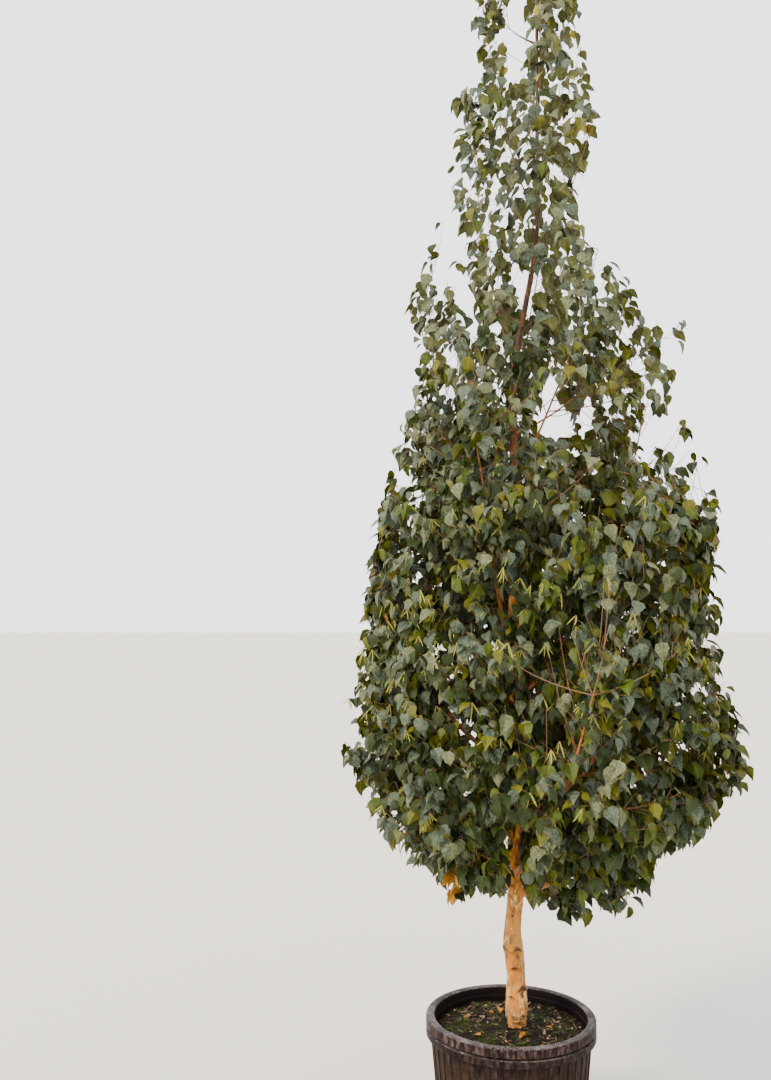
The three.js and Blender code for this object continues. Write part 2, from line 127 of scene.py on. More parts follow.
def weathered_plastic_with_sheen(name, worn, dust_top, dust_foot, dust_most, inside):
    """Black and streaky, chalked and given a painted sheen where it faces up, dusty low down, and plain
    within its inside wall.
    """
    paint = Paint(name, 0.6, 0.06)
    streaks = paint.grain(paint.place((75, 75, 22)), 1.0, 6, 0.65)
    blotches = paint.grain(paint.place(), 14, 6, 0.65)
    specks = paint.grain(paint.place(), 240, 3)
    bands = paint.grain(paint.place((9, 9, 2)), 1.0, 6, 0.7)
    streaked = paint.ramped(
        streaks, (0.34, (0.001, 0.001, 0.001)), (0.50, (0.012, 0.007, 0.006)), (0.68, worn),
    )
    x, y, height = paint.parts(paint.place())
    squared = paint.plus(paint.times(x, x), paint.times(y, y))
    outside = paint.between(squared, inside**2, (inside + 0.006) ** 2)
    black = paint.painted(outside, (0.006, 0.004, 0.004), streaked)
    # Painted sheen: the faces that look up turn light grey, partly chalking on the plastic and partly a
    # painted highlight where light falls on the top faces.
    facing = paint.parts(paint.node("ShaderNodeNewGeometry").outputs["Normal"])[2]
    sun = paint.between(facing, 0.25, 0.95)
    chalk_and_sheen = paint.times(sun, paint.between(blotches, 0.22, 0.62, 0.45, 1.0))
    grey = paint.ramped(
        paint.times(paint.plus(specks, bands), 0.5),
        (0.40, (0.003, 0.002, 0.002)), (0.49, (0.028, 0.020, 0.021)), (0.58, (0.170, 0.138, 0.132)),
    )
    low = paint.between(height, dust_top, dust_foot, 0.0, dust_most)
    dusty = paint.times(paint.times(low, paint.between(bands, 0.40, 0.60, 0.10, 1.0)), outside)
    dust = paint.ramped(specks, (0.3, (0.003, 0.001, 0.001)), (0.7, (0.052, 0.028, 0.016)))
    return paint.finished(
        paint.painted(dusty, paint.painted(chalk_and_sheen, black, grey), dust),
        paint.plus(specks, blotches), 0.35, 0.0006, paint.between(dusty, 0, 1, 0.50, 0.85),
    )


def turned_shell(profile, segments, soften):
    """A profile of radii and heights spun into a closed shell, its level rims softened."""
    shell = bmesh.new()
    corners = [shell.verts.new((radius, 0, height)) for radius, height in profile]
    outline = [shell.edges.new(pair) for pair in zip(corners, corners[1:])]
    bmesh.ops.spin(
        shell, geom=corners + outline, cent=(0, 0, 0), axis=(0, 0, 1), angle=math.tau,
        steps=segments, use_merge=True,
    )
    bmesh.ops.remove_doubles(shell, verts=shell.verts, dist=1e-5)
    bmesh.ops.recalc_face_normals(shell, faces=shell.faces)
    hard = [
        edge
        for edge in shell.edges
        if abs(edge.verts[0].co.z - edge.verts[1].co.z) < 1e-6
        and edge.calc_face_angle(0) > 0.4
        and edge.verts[0].co.xy.length > 0.1
    ]
    bmesh.ops.bevel(
        shell, geom=hard, offset=soften, segments=3, profile=0.5, affect="EDGES", material=-1,
        clamp_overlap=True,
    )
    return shell


def new_mesh(name, materials):
    mesh = bpy.data.meshes.new(name)
    for material in materials:
        mesh.materials.append(material)
    return mesh


def placed_piece(mesh, nodes, sharp):
    if sharp is not None:
        mesh.shade_smooth()
        mesh.set_sharp_from_angle(angle=math.radians(sharp))
    piece = bpy.data.objects.new(mesh.name, mesh)
    bpy.context.scene.collection.objects.link(piece)
    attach(piece, "root")
    if nodes:
        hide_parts(*nodes)


def finished_piece(name, shape, material, nodes, sharp=40):
    mesh = new_mesh(name, [material])
    shape.to_mesh(mesh)
    shape.free()
    placed_piece(mesh, nodes, sharp)


outer_pot = turned_shell(OUTER_POT_PROFILE, POT_SEGMENTS, OUTER_POT_CORNER)
_, (foot_radius, _), (wall_radius, wall_top) = OUTER_POT_PROFILE[:3]
rib_middle = (RIB["foot"] + RIB["top"]) / 2
rib_out = foot_radius + (wall_radius - foot_radius) * rib_middle / wall_top
leant = Matrix.Rotation(math.atan((wall_radius - foot_radius) / wall_top), 4, "Y")
rib_shape = leant @ Matrix.Diagonal((2 * RIB["proud"], RIB["width"], RIB["top"] - RIB["foot"], 1))
for rib in range(POT_RIBS):
    turned = Matrix.Rotation(math.tau * (rib + 0.5) / POT_RIBS, 4, "Z")
    where = turned @ Matrix.Translation((rib_out, 0, rib_middle))
    block = bmesh.ops.create_cube(outer_pot, size=1, matrix=where @ rib_shape)
    upright = [
        edge
        for edge in {edge for vertex in block["verts"] for edge in vertex.link_edges}
        if abs(edge.verts[0].co.z - edge.verts[1].co.z) > 0.1
    ]
    bmesh.ops.bevel(
        outer_pot, geom=upright, offset=RIB["corner"], segments=2, profile=0.5, affect="EDGES", material=-1,
    )
outer_plastic = weathered_plastic_with_sheen("outer_pot_plastic", (0.040, 0.027, 0.021), 0.418, 0.30, 0.80, 0.150)
finished_piece("outer_pot_shell", outer_pot, outer_plastic, ["outer_pot"])

# The growing pot. The same black plastic, thin walled, with a thick rolled lip. It hangs inside the
# outer pot by the collar under that lip, which leaves a dark groove between the two lips.
GROWING_POT_PROFILE = [
    (0.0, 0.030), (0.2240, 0.030), (0.2640, 0.4203), (0.2790, 0.4203), (0.2790, 0.4490), (0.2850, 0.4490),
    (0.2850, 0.4280), (0.2900, 0.4280), (0.2900, 0.4540), (0.2860, 0.4580), (0.2780, 0.4566),
    (0.2700, 0.4575), (0.2610, 0.4560), (0.2600, 0.4300), (0.2584, 0.4270), (0.2588, 0.4180),
    (0.2200, 0.0340), (0.0, 0.034),
]
GROWING_POT_CORNER = 0.0019
growing_pot = turned_shell(GROWING_POT_PROFILE, POT_SEGMENTS, GROWING_POT_CORNER)
growing_plastic = weathered_plastic_with_sheen("growing_pot_plastic", (0.095, 0.064, 0.058), 0.452, 0.424, 0.50, 0.272)
finished_piece("growing_pot_shell", growing_pot, growing_plastic, ["growing_pot"])

# The potting mix. Dark bark compost with drifts of moss, heaped a little round the trunk where it
# was firmed at planting, and lower at the wall. Its sides follow the pot down.
MIX_LEVEL = 0.417
MIX_EDGE = 0.2578
MIX_FOOT = {"radius": 0.2190, "height": 0.0345}
MIX_CELLS = 104
MIX_HEAP = {"at": 0.022, "rise": 0.008, "spread": 0.052}
MIX_FALL = {"from": 0.150, "by": 0.008}
MIX_LUMPS = [(22, 3, 0.0045), (70, 9, 0.0028), (190, 5, 0.0020)]


def chance(mass, twig, use):
    """A number from 0 to 1 that looks random and is the same each time."""
    wave = math.sin(mass * 127.1 + twig * 311.7 + use * 74.7) * 43758.5453
    return wave - math.floor(wave)


def bell(value, middle, spread):
    return math.exp(-(((value - middle) / spread) ** 2))


def mix_height(x, y):
    fall = max((math.hypot(x, y) - MIX_FALL["from"]) / (MIX_EDGE - MIX_FALL["from"]), 0)
    lumps = sum(noise.noise(Vector((x * size, y * size, seed))) * high for size, seed, high in MIX_LUMPS)
    heaped = MIX_HEAP["rise"] * bell(math.hypot(x - MIX_HEAP["at"], y), 0, MIX_HEAP["spread"])
    return MIX_LEVEL + heaped - MIX_FALL["by"] * fall + lumps * (1 - 0.4 * fall)


def mix_material():
    paint = Paint("potting_mix", 0.95, 0.1)
    clods = paint.grain(paint.place(), 90, 8, 0.7)
    patches = paint.grain(paint.place(), 17, 5, 0.6, 0.6)
    tufts = paint.grain(paint.place(), 260, 4)
    soil = paint.ramped(
        clods, (0.30, (0.002, 0.001, 0.001)), (0.52, (0.007, 0.004, 0.003)), (0.70, (0.030, 0.018, 0.011)),
    )
    moss = paint.ramped(tufts, (0.3, (0.007, 0.011, 0.002)), (0.7, (0.036, 0.046, 0.006)))
    growth = paint.times(paint.between(patches, 0.46, 0.56), paint.between(clods, 0.35, 0.6))
    return paint.finished(paint.painted(growth, soil, moss), paint.plus(clods, tufts), 0.8, 0.003)


mix = bmesh.new()
bmesh.ops.create_grid(mix, x_segments=MIX_CELLS, y_segments=MIX_CELLS, size=1)
for vertex in mix.verts:
    x, y = vertex.co.x, vertex.co.y
    square = max(abs(x), abs(y))
    if square > 0:
        x, y = (MIX_EDGE * square * part / math.hypot(vertex.co.x, vertex.co.y) for part in (x, y))
    vertex.co = (x, y, mix_height(x, y))
rim = [edge for edge in mix.edges if edge.is_boundary]
skirt = bmesh.ops.extrude_edge_only(mix, edges=rim)["geom"]
for vertex in [part for part in skirt if isinstance(part, bmesh.types.BMVert)]:
    vertex.co.xy *= MIX_FOOT["radius"] / MIX_EDGE
    vertex.co.z = MIX_FOOT["height"]
bmesh.ops.holes_fill(mix, edges=[edge for edge in mix.edges if edge.is_boundary], sides=0)
bmesh.ops.recalc_face_normals(mix, faces=mix.faces)
finished_piece("potting_mix_body", mix, mix_material(), ["potting_mix"], 180)

# The litter on the mix: bark chips, dark and pale, and bits of straw, lying flat as they fell. Each
# kind is a row of count, seed, nearest and farthest from the middle, size, proportions and lift.
DARK_CHIPS = (240, 11, 0.045, 0.250, 0.014, (1.0, 0.62, 0.30), 0.001)
PALE_CHIPS = (60, 12, 0.050, 0.246, 0.012, (1.0, 0.55, 0.25), 0.002)
STRAWS = (34, 13, 0.050, 0.240, 0.030, (1.0, 0.050, 0.050), 0.004)


def taken_from(shape):
    """A small shape as arrays, to be stamped many times: corners, loops, face sizes, slots and UVs."""
    shape.verts.ensure_lookup_table()
    chart = shape.loops.layers.uv.active
    loops = [loop for face in shape.faces for loop in face.loops]
    made = {
        "corners": np.array([vertex.co[:] for vertex in shape.verts]),
        "loops": np.array([loop.vert.index for loop in loops]),
        "sizes": np.array([len(face.loops) for face in shape.faces]),
        "slots": np.array([face.material_index for face in shape.faces]),
        "uvs": np.array([loop[chart].uv[:] if chart else (0, 0) for loop in loops]),
    }
    shape.free()
    return made


def stamped(shape, places, slots=None):
    """The shape at each 4 by 4 place, and its face slots read from the row of slots for that place."""
    places = np.asarray(places)
    count, corners = len(places), len(shape["corners"])
    slots = np.zeros((count, 1), int) if slots is None else np.asarray(slots)
    spots = np.einsum("nij,mj->nmi", places[:, :3, :3], shape["corners"]) + places[:, None, :3, 3]
    return {
        "corners": spots.reshape(-1, 3),
        "loops": (np.arange(count)[:, None] * corners + shape["loops"]).ravel(),
        "sizes": np.tile(shape["sizes"], count),
        "slots": slots[:, shape["slots"]].ravel(),
        "uvs": np.tile(shape["uvs"], (count, 1)),
    }


def together(*groups):
    firsts = np.cumsum([0] + [len(group["corners"]) for group in groups])
    made = {key: np.concatenate([group[key] for group in groups]) for key in groups[0]}
    made["loops"] = np.concatenate([group["loops"] + first for group, first in zip(groups, firsts)])
    return made


def joined_piece(name, arrays, materials, nodes, sharp=None):
    mesh = new_mesh(name, materials)
    sizes = arrays["sizes"]
    mesh.vertices.add(len(arrays["corners"]))
    mesh.vertices.foreach_set("co", arrays["corners"].astype(np.float32).ravel())
    mesh.loops.add(len(arrays["loops"]))
    mesh.loops.foreach_set("vertex_index", arrays["loops"].astype(np.int32))
    mesh.polygons.add(len(sizes))
    mesh.polygons.foreach_set("loop_start", (np.cumsum(sizes) - sizes).astype(np.int32))
    mesh.polygons.foreach_set("material_index", arrays["slots"].astype(np.int32))
    chart = mesh.uv_layers.new(name="surface")
    chart.data.foreach_set("uv", arrays["uvs"].astype(np.float32).ravel())
    mesh.update(calc_edges=True)
    mesh.validate()
    placed_piece(mesh, nodes, sharp)


def litter_material(name, dark, light, scale):
    paint = Paint(name, 0.8, 0.25)
    fibres = paint.grain(paint.place((1, 1, 3)), scale, 5, 0.7)
    return paint.finished(paint.ramped(fibres, (0.3, dark), (0.7, light)), fibres, 0.5, 0.0008)


def draws(mass, twig):
    """The chance numbers of one thing, each asked for by its use."""
    return lambda use: chance(mass, twig, use)


def scattered(count, seed, nearest, farthest, size, proportions, lift):
    """Places on the mix between two radii, each lying flat and turned by chance."""
    places = []
    for i in range(count):
        luck = draws(seed, i)
        out = math.sqrt(nearest**2 + (farthest**2 - nearest**2) * luck(1))
        x, y = out * math.cos(math.tau * luck(2)), out * math.sin(math.tau * luck(2))
        tilt = Matrix.Rotation((luck(3) - 0.5) * 0.8, 4, "X") @ Matrix.Rotation((luck(4) - 0.5) * 0.8, 4, "Y")
        spin = Matrix.Rotation(math.tau * luck(5), 4, "Z")
        sizes = [(0.6 + 0.8 * luck(6 + k)) * size * part for k, part in enumerate(proportions)]
        where = Matrix.Translation((x, y, mix_height(x, y) + lift))
        places.append(np.array(where @ spin @ tilt @ Matrix.Diagonal((*sizes, 1))))
    return places


chip = bmesh.new()
bmesh.ops.create_cube(chip, size=1)
for vertex in chip.verts:
    vertex.co *= 0.72 + 0.5 * chance(41, vertex.index, 1)
bmesh.ops.bevel(chip, geom=chip.edges[:], offset=0.1, segments=1, profile=0.5, affect="EDGES", material=-1)
chip = taken_from(chip)
chips = [
    stamped(chip, scattered(*kind), np.full((kind[0], 1), slot))
    for slot, kind in enumerate((DARK_CHIPS, PALE_CHIPS))
]
chip_barks = [
    litter_material("bark_chip", (0.007, 0.004, 0.003), (0.062, 0.034, 0.019), 160),
    litter_material("pale_chip", (0.120, 0.070, 0.042), (0.330, 0.225, 0.145), 160),
]
joined_piece("bark_chips", together(*chips), chip_barks, [])

straw = bmesh.new()
bmesh.ops.create_cone(straw, cap_ends=True, segments=5, radius1=0.5, radius2=0.35, depth=1)
bmesh.ops.rotate(straw, verts=straw.verts, matrix=Matrix.Rotation(math.pi / 2, 3, "Y"))
straws = stamped(taken_from(straw), scattered(*STRAWS))
straw_yellow = litter_material("straw", (0.150, 0.100, 0.050), (0.380, 0.290, 0.170), 90)
joined_piece("straw_bits", straws, [straw_yellow], [])

# Moss and seedlings. Low rosettes of small green blades that have sprung up on the mix, in drifts
# and away from the trunk.
TUFTS = {"count": 110, "nearest": 0.060, "spread": 0.185, "size": (0.008, 0.012), "blades": 6}
DRIFTS = {"scale": 17, "bare_below": -0.02}

blade = bmesh.new()
bmesh.ops.create_grid(blade, x_segments=2, y_segments=3, size=0.5)
for vertex in blade.verts:
    along = vertex.co.y + 0.5
    width = 0.30 * math.sin(math.pi * min(along * 0.86 + 0.12, 1)) + 0.01
    rise = 0.34 * along - 0.42 * along**2 + 0.05 * abs(vertex.co.x)
    vertex.co = (vertex.co.x * width, along, rise)
bmesh.ops.solidify(blade, geom=blade.faces[:], thickness=0.02)
bmesh.ops.recalc_face_normals(blade, faces=blade.faces)
rosettes = []
for tuft in range(TUFTS["count"]):
    luck = draws(21, tuft)
    out = TUFTS["nearest"] + TUFTS["spread"] * math.sqrt(luck(1))
    x, y = out * math.cos(math.tau * luck(2)), out * math.sin(math.tau * luck(2))
    if noise.noise(Vector((x * DRIFTS["scale"], y * DRIFTS["scale"], 0.3))) < DRIFTS["bare_below"]:
        continue
    size = TUFTS["size"][0] + TUFTS["size"][1] * luck(3)
    where = Matrix.Translation((x, y, mix_height(x, y) - 0.001))
    for leaf in range(TUFTS["blades"]):
        spin = Matrix.Rotation(leaf * 2.4 + 6 * luck(4), 4, "Z")
        rise = Matrix.Rotation(0.25 + 0.55 * luck(10 + leaf), 4, "X")
        rosettes.append(np.array(where @ spin @ rise @ Matrix.Scale(size, 4)))
seedling_green = litter_material("seedling_green", (0.010, 0.017, 0.002), (0.060, 0.080, 0.010), 60)
joined_piece("moss_and_seedlings", stamped(taken_from(blade), rosettes), [seedling_green], [])

# The trunk. Young birch bark: cream and papery low down, with dark eyes and chevrons where low
# boughs were cut away, golden under the crown, and coppery brown up the leader to its tip.
TRUNK_FOOT = 0.4203
TRUNK_TIP = 4.130
TRUNK_X = 0.022
FOOT_BEND = {"by": -0.013, "height": 0.715, "spread": 0.095}
LEADER_SHIFT = {"by": 0.098, "from": 2.560, "to": 3.300}
TRUNK_SWAY = 0.009
TRUNK_RADIUS = 0.031
TRUNK_TIP_RADIUS = 0.0055
ROOT_FLARE = {"radius": -0.001, "height": 0.020}
ROOT_RIDGES = {"count": 5, "turn": 0.7, "high": 0.002, "fade": 0.030}
OLD_COLLARS = [(0.0085, 0.490, 0.046), (0.0045, 0.650, 0.070)]
TRUNK_SIDES = 48
TRUNK_ROWS = 300
ROWS_CROWD_DOWN = 1.7
BARK_RELIEF = [(1.4, 13, 0.0045), (4, 45, 0.0018)]
# Each scar is (turn round the trunk, height, half width, how tall), with turns from +X towards +Y.
EYES = [(-1.86, 0.455, 0.011, 0.010), (-1.14, 0.457, 0.011, 0.012), (1.4, 0.520, 0.008, 0.007)]
EYE = {"lip": 0.0046, "hollow": 0.0050}
CHEVRONS = [
    (-2.62, 0.692, 0.020, 0.022), (-1.22, 0.690, 0.022, 0.020), (-1.75, 0.628, 0.026, 0.008),
    (-1.05, 0.560, 0.024, 0.020), (-2.20, 0.530, 0.016, 0.008), (-1.80, 0.800, 0.018, 0.006),
    (0.60, 0.640, 0.018, 0.010), (2.20, 0.575, 0.016, 0.010), (1.30, 0.745, 0.018, 0.010),
]
CHEVRON = {"lip": 0.0070, "groove": 0.0034, "slope": 0.75}


def eased(value, low, high):
    share = min(max((value - low) / (high - low), 0), 1)
    return share * share * (3 - 2 * share)


def trunk_point(height):
    climbed = (height - TRUNK_FOOT) / (TRUNK_TIP - TRUNK_FOOT)
    shift = LEADER_SHIFT["by"] * eased(height, LEADER_SHIFT["from"], LEADER_SHIFT["to"])
    bend = FOOT_BEND["by"] * bell(height, FOOT_BEND["height"], FOOT_BEND["spread"])
    return Vector((TRUNK_X + shift + bend, TRUNK_SWAY * math.sin(climbed * 3 * math.pi), height))


def trunk_radius(height):
    left = min(max((TRUNK_TIP - height) / (TRUNK_TIP - TRUNK_FOOT), 0), 1)
    flare = ROOT_FLARE["radius"] * math.exp(-(height - TRUNK_FOOT) / ROOT_FLARE["height"])
    collars = sum(out * bell(height, level, spread) for out, level, spread in OLD_COLLARS)
    return max(TRUNK_RADIUS * left + flare + collars, TRUNK_TIP_RADIUS)


def scar_at(turn, height, radius):
    """How far the bark stands out in metres, and how dark it is, round the old branch scars."""
    lift, dark = 0.0, 0.0
    for middle, level, width, tall in EYES:
        across = ((turn - middle + math.pi) % math.tau - math.pi) * radius / width
        out = math.hypot(across, (height - level) / tall)
        lift += EYE["lip"] * bell(out, 1.15, 0.5) - EYE["hollow"] * bell(out, 0, 0.6)
        dark += bell(out, 0, 0.85)
    for middle, level, width, tall in CHEVRONS:
        across = ((turn - middle + math.pi) % math.tau - math.pi) * radius
        if abs(across) > 2 * width:
            continue
        fade = bell(across, 0, width)
        drop = height - level + abs(across) * CHEVRON["slope"]
        lip = CHEVRON["lip"] * bell(drop, 0.002, tall * 0.6)
        lift += fade * (lip - CHEVRON["groove"] * bell(drop, -tall, tall * 0.4))
        dark += fade * bell(drop, -0.002, tall * 0.38)
        dark += 0.8 * bell(math.hypot(across * 1.4, height - level + tall * 1.5), 0, tall * 0.75)
    return lift, min(dark, 1)


def trunk_bark():
    paint = Paint("trunk_bark", 0.6, 0.15)
    height = paint.parts(paint.place())[2]
    wander = paint.worked("MULTIPLY_ADD", paint.grain(paint.place(), 9, 3), 0.5, -0.25)
    by_height = paint.ramped(
        paint.between(paint.plus(height, wander), 0.42, 3.9),
        (0.00, (0.380, 0.180, 0.050)), (0.025, (0.480, 0.200, 0.032)), (0.065, (0.600, 0.258, 0.018)),
        (0.12, (0.670, 0.245, 0.005)), (0.45, (0.240, 0.080, 0.010)), (0.58, (0.130, 0.050, 0.014)),
        (0.68, (0.060, 0.030, 0.014)), (1.00, (0.036, 0.024, 0.015)),
    )
    old = paint.between(height, 1.3, 2.6, 1, 0)
    broad = paint.grain(paint.place((1, 1, 0.55)), 26, 5, 0.6, 0.8)
    peeling = paint.times(old, paint.between(broad, 0.50, 0.60, 0, 0.90))
    paper = paint.painted(peeling, by_height, (0.800, 0.480, 0.175))
    amber = paint.grain(paint.place((1, 1, 0.7)), 13, 4, 0.6, 0.5)
    tanned = paint.times(old, paint.between(amber, 0.46, 0.60, 0, 0.85))
    ochre = paint.painted(tanned, paper, (0.430, 0.130, 0.001))
    stains = paint.grain(paint.place((1, 1, 0.45)), 40, 6, 0.7, 1.2)
    warm = paint.painted(paint.between(stains, 0.47, 0.60, 0, 0.85), ochre, (0.170, 0.066, 0.016))
    dashes = paint.grain(paint.place((55, 55, 520)), 1.0, 2, 0.5)
    breaks = paint.grain(paint.place((70, 70, 90)), 1.0, 2)
    marks = paint.times(paint.between(dashes, 0.60, 0.68), paint.between(breaks, 0.50, 0.58))
    dashed = paint.painted(paint.times(marks, 0.75), warm, (0.170, 0.080, 0.035))
    scar = paint.node("ShaderNodeAttribute", attribute_name="scar").outputs["Fac"]
    frayed = paint.times(scar, paint.between(broad, 0.2, 0.6, 0.75, 1.15))
    scarred = paint.painted(paint.between(frayed, 0.25, 0.85, 0, 0.95), dashed, (0.045, 0.026, 0.016))
    layers = paint.plus(paint.times(broad, 0.8), paint.times(marks, -0.6))
    return paint.finished(
        scarred, paint.plus(layers, dashes), 0.55, 0.0012, paint.between(broad, 0.3, 0.7, 0.42, 0.68),
    )


trunk = bmesh.new()
bmesh.ops.create_grid(trunk, x_segments=TRUNK_SIDES, y_segments=TRUNK_ROWS, size=0.5)
scar_layer = trunk.verts.layers.float.new("scar")
for vertex in trunk.verts:
    turn = -(vertex.co.x + 0.5) * math.tau
    height = TRUNK_FOOT + (TRUNK_TIP - TRUNK_FOOT) * (vertex.co.y + 0.5) ** ROWS_CROWD_DOWN
    radius = trunk_radius(height)
    around = Vector((math.cos(turn), math.sin(turn), 0))
    lift, vertex[scar_layer] = scar_at(turn, height, radius)
    relief = sum(
        noise.noise(Vector((around.x * wide, around.y * wide, height * tall))) * high
        for wide, tall, high in BARK_RELIEF
    )
    roots = ROOT_RIDGES["high"] * math.cos(ROOT_RIDGES["count"] * turn + ROOT_RIDGES["turn"])
    roots *= math.exp(-(height - TRUNK_FOOT) / ROOT_RIDGES["fade"])
    age = 1 - eased(height, 0.5, 2.2)
    radius += relief * (0.3 + 0.7 * age) + roots + lift
    vertex.co = trunk_point(height) + around * radius
bmesh.ops.remove_doubles(trunk, verts=trunk.verts, dist=1e-5)
bmesh.ops.holes_fill(trunk, edges=[edge for edge in trunk.edges if edge.is_boundary], sides=0)
bmesh.ops.recalc_face_normals(trunk, faces=trunk.faces)
finished_piece("trunk_stem", trunk, trunk_bark(), ["trunk"], 60)

# The papery curls. Thin shreds of the outer bark have come loose round the lower trunk, and each is
# turned back from the wood that it still clings to.
CURLS = {"count": 64, "from": 0.430, "up": 0.30, "crowding": 2.2, "size": (0.007, 0.010), "sunk": 0.0004}

curl = bmesh.new()
bmesh.ops.create_grid(curl, x_segments=6, y_segments=2, size=0.5)
for vertex in curl.verts:
    along = vertex.co.x + 0.5
    ragged = 0.75 + 0.5 * chance(51, round(along * 6), round(vertex.co.y * 2) + 3)
    vertex.co = (0.55 * along**2, along - 0.5, vertex.co.y * 0.42 * ragged)
bmesh.ops.solidify(curl, geom=curl.faces[:], thickness=0.022)
bmesh.ops.recalc_face_normals(curl, faces=curl.faces)
curls = []
for i in range(CURLS["count"]):
    luck = draws(52, i)
    height = CURLS["from"] + CURLS["up"] * luck(1) ** CURLS["crowding"]
    size = CURLS["size"][0] + CURLS["size"][1] * luck(3)
    where = Matrix.Translation(trunk_point(height)) @ Matrix.Rotation(math.tau * luck(2), 4, "Z")
    on_bark = Matrix.Translation((trunk_radius(height) - CURLS["sunk"], 0, 0))
    tip = Matrix.Rotation((luck(5) - 0.5) * 0.5, 4, "X")
    stretch = Matrix.Diagonal((size * 0.40, size if luck(4) > 0.5 else -size, size, 1))
    curls.append(np.array(where @ on_bark @ tip @ stretch))
papery = litter_material("papery_bark", (0.400, 0.250, 0.130), (0.640, 0.470, 0.300), 120)
joined_piece("bark_curls", stamped(taken_from(curl), curls), [papery], [])

# The crown's plan. Boughs leave the trunk in a spiral and sweep up, and shorter masses of foliage
# grow from the trunk between them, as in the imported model. The crown keeps within its reach on every
# side, and to the outline that it shows from the front.
REACH_RIGHT = [
    (0.740, 0.090), (0.850, 0.430), (1.010, 0.660), (1.280, 0.830), (2.200, 0.745),
    (2.900, 0.600), (3.060, 0.390), (3.330, 0.260), (4.080, 0.205), (4.510, 0.050),
]
REACH_LEFT = [
    (0.740, 0.060), (1.060, 0.470), (1.250, 0.590), (1.600, 0.600), (2.300, 0.470),
    (2.600, 0.400), (3.200, 0.395), (4.060, 0.215), (4.510, 0.050),
]
REACH_SLACK = 0.022
LOWEST_LEAF = 0.760
TREE_TOP = 4.490
VIEW_FROM = Vector((-0.4294, -3.7086, 1.8728))
# Each row of the outline is (height, left edge, right edge), on the plane through the pot's middle.
OUTLINE = [
    (0.77, -0.10, 0.44), (0.84, -0.19, 0.47), (0.91, -0.30, 0.48), (0.99, -0.38, 0.50), (1.04, -0.42, 0.65),
    (1.11, -0.46, 0.68), (1.18, -0.50, 0.73), (1.24, -0.53, 0.86), (1.30, -0.56, 0.82), (1.42, -0.58, 0.80),
    (1.54, -0.56, 0.77), (1.72, -0.52, 0.74), (1.88, -0.49, 0.73), (2.16, -0.45, 0.74), (2.30, -0.42, 0.73),
    (2.40, -0.40, 0.69), (2.47, -0.37, 0.68), (2.60, -0.33, 0.60), (2.70, -0.31, 0.60), (2.80, -0.33, 0.63),
    (2.88, -0.34, 0.65), (2.90, -0.33, 0.51), (2.99, -0.33, 0.44), (3.04, -0.32, 0.43), (3.10, -0.30, 0.35),
    (3.17, -0.27, 0.28), (3.28, -0.20, 0.25), (3.37, -0.20, 0.25), (3.42, -0.25, 0.27), (3.46, -0.18, 0.29),
    (3.64, -0.17, 0.32), (3.80, -0.17, 0.29), (3.87, -0.11, 0.28), (4.10, -0.09, 0.25), (4.20, -0.04, 0.22),
    (4.35, 0.05, 0.18), (4.49, 0.10, 0.13),
]
UNDERSIDE = [(-0.20, 0.845), (-0.10, 0.865), (0.05, 0.885), (0.10, 0.800), (0.15, 0.775), (0.45, 0.775)]
GOLDEN_ANGLE = math.pi * (3 - math.sqrt(5))
FIRST_ROOT = 0.860
ROOT_SPACING = 0.036
BOUGHS = {
    "count": 16, "turn": 0.1, "tips": (1.280, 4.160), "crowding": 1.08, "rise": (0.62, 3.2),
    "bare": (0.36, 0.24),
}
BOUGH_RADIUS = {"share": 0.44, "most": 0.0125, "least": 0.007, "tip": 0.7}
TRUNK_MASSES = {
    "count": 11, "turn": 4.2, "tips": (1.010, 3.980), "crowding": 1.1, "rise": 0.76, "reach": 0.5,
    "radius": 0.006,
}
BOW = {"out": 0.16, "down": 0.14}
SWEEP_STEPS = 24
SWEEP_CLEARANCE = 0.034
SWEEP_TURNS = {"by": 0.28, "most": 20}


def lerp(low, high, share):
    return low + (high - low) * share


def by_height(height, size):
    """A size that passes from its low value to its high one between two heights."""
    return lerp(size["low"], size["high"], eased(height, size["from"], size["to"]))


def as_array(points):
    return np.array([point[:] for point in points])


def crown_reach(height, turn):
    left = np.interp(height, *zip(*REACH_LEFT))
    right = np.interp(height, *zip(*REACH_RIGHT))
    return left + (right - left) * (1 + np.cos(turn)) / 2


def sweep(tip_height, lowest_root, turn, reach, rise):
    """The root, elbow and tip of a limb that leaves the trunk and bows down and out on its way up."""
    root_height = max(tip_height - reach * rise, lowest_root)
    root = trunk_point(root_height)
    side = Vector((math.cos(turn), math.sin(turn), 0))
    tip = trunk_point(min(tip_height, TRUNK_TIP)) + side * reach
    tip.z = tip_height
    elbow = root.lerp(tip, 0.5) + side * reach * BOW["out"]
    elbow.z -= (tip_height - root_height) * BOW["down"]
    return root, elbow, tip


def on_sweep(path, share):
    root, elbow, tip = path
    return root * (1 - share) ** 2 + elbow * 2 * share * (1 - share) + tip * share**2


planned = []


def clear_sweep(tip_height, lowest_root, first_turn, reach_share, rise):
    """A sweep turned on, step by step, until it runs clear of all that are planned already."""
    for attempt in range(SWEEP_TURNS["most"] + 1):
        turn = first_turn + attempt * SWEEP_TURNS["by"]
        path = sweep(tip_height, lowest_root, turn, crown_reach(tip_height, turn) * reach_share, rise)
        points = [on_sweep(path, k / SWEEP_STEPS) for k in range(1, SWEEP_STEPS + 1)]
        if all((point - other).length > SWEEP_CLEARANCE for point in points for other in planned):
            break
    planned.extend(points)
    return path


trunk_line = as_array(trunk_point(height) for height in np.linspace(TRUNK_FOOT, TRUNK_TIP, 200))


def axis_at(heights):
    return np.stack([np.interp(heights, trunk_line[:, 2], trunk_line[:, k]) for k in (0, 1)], -1)


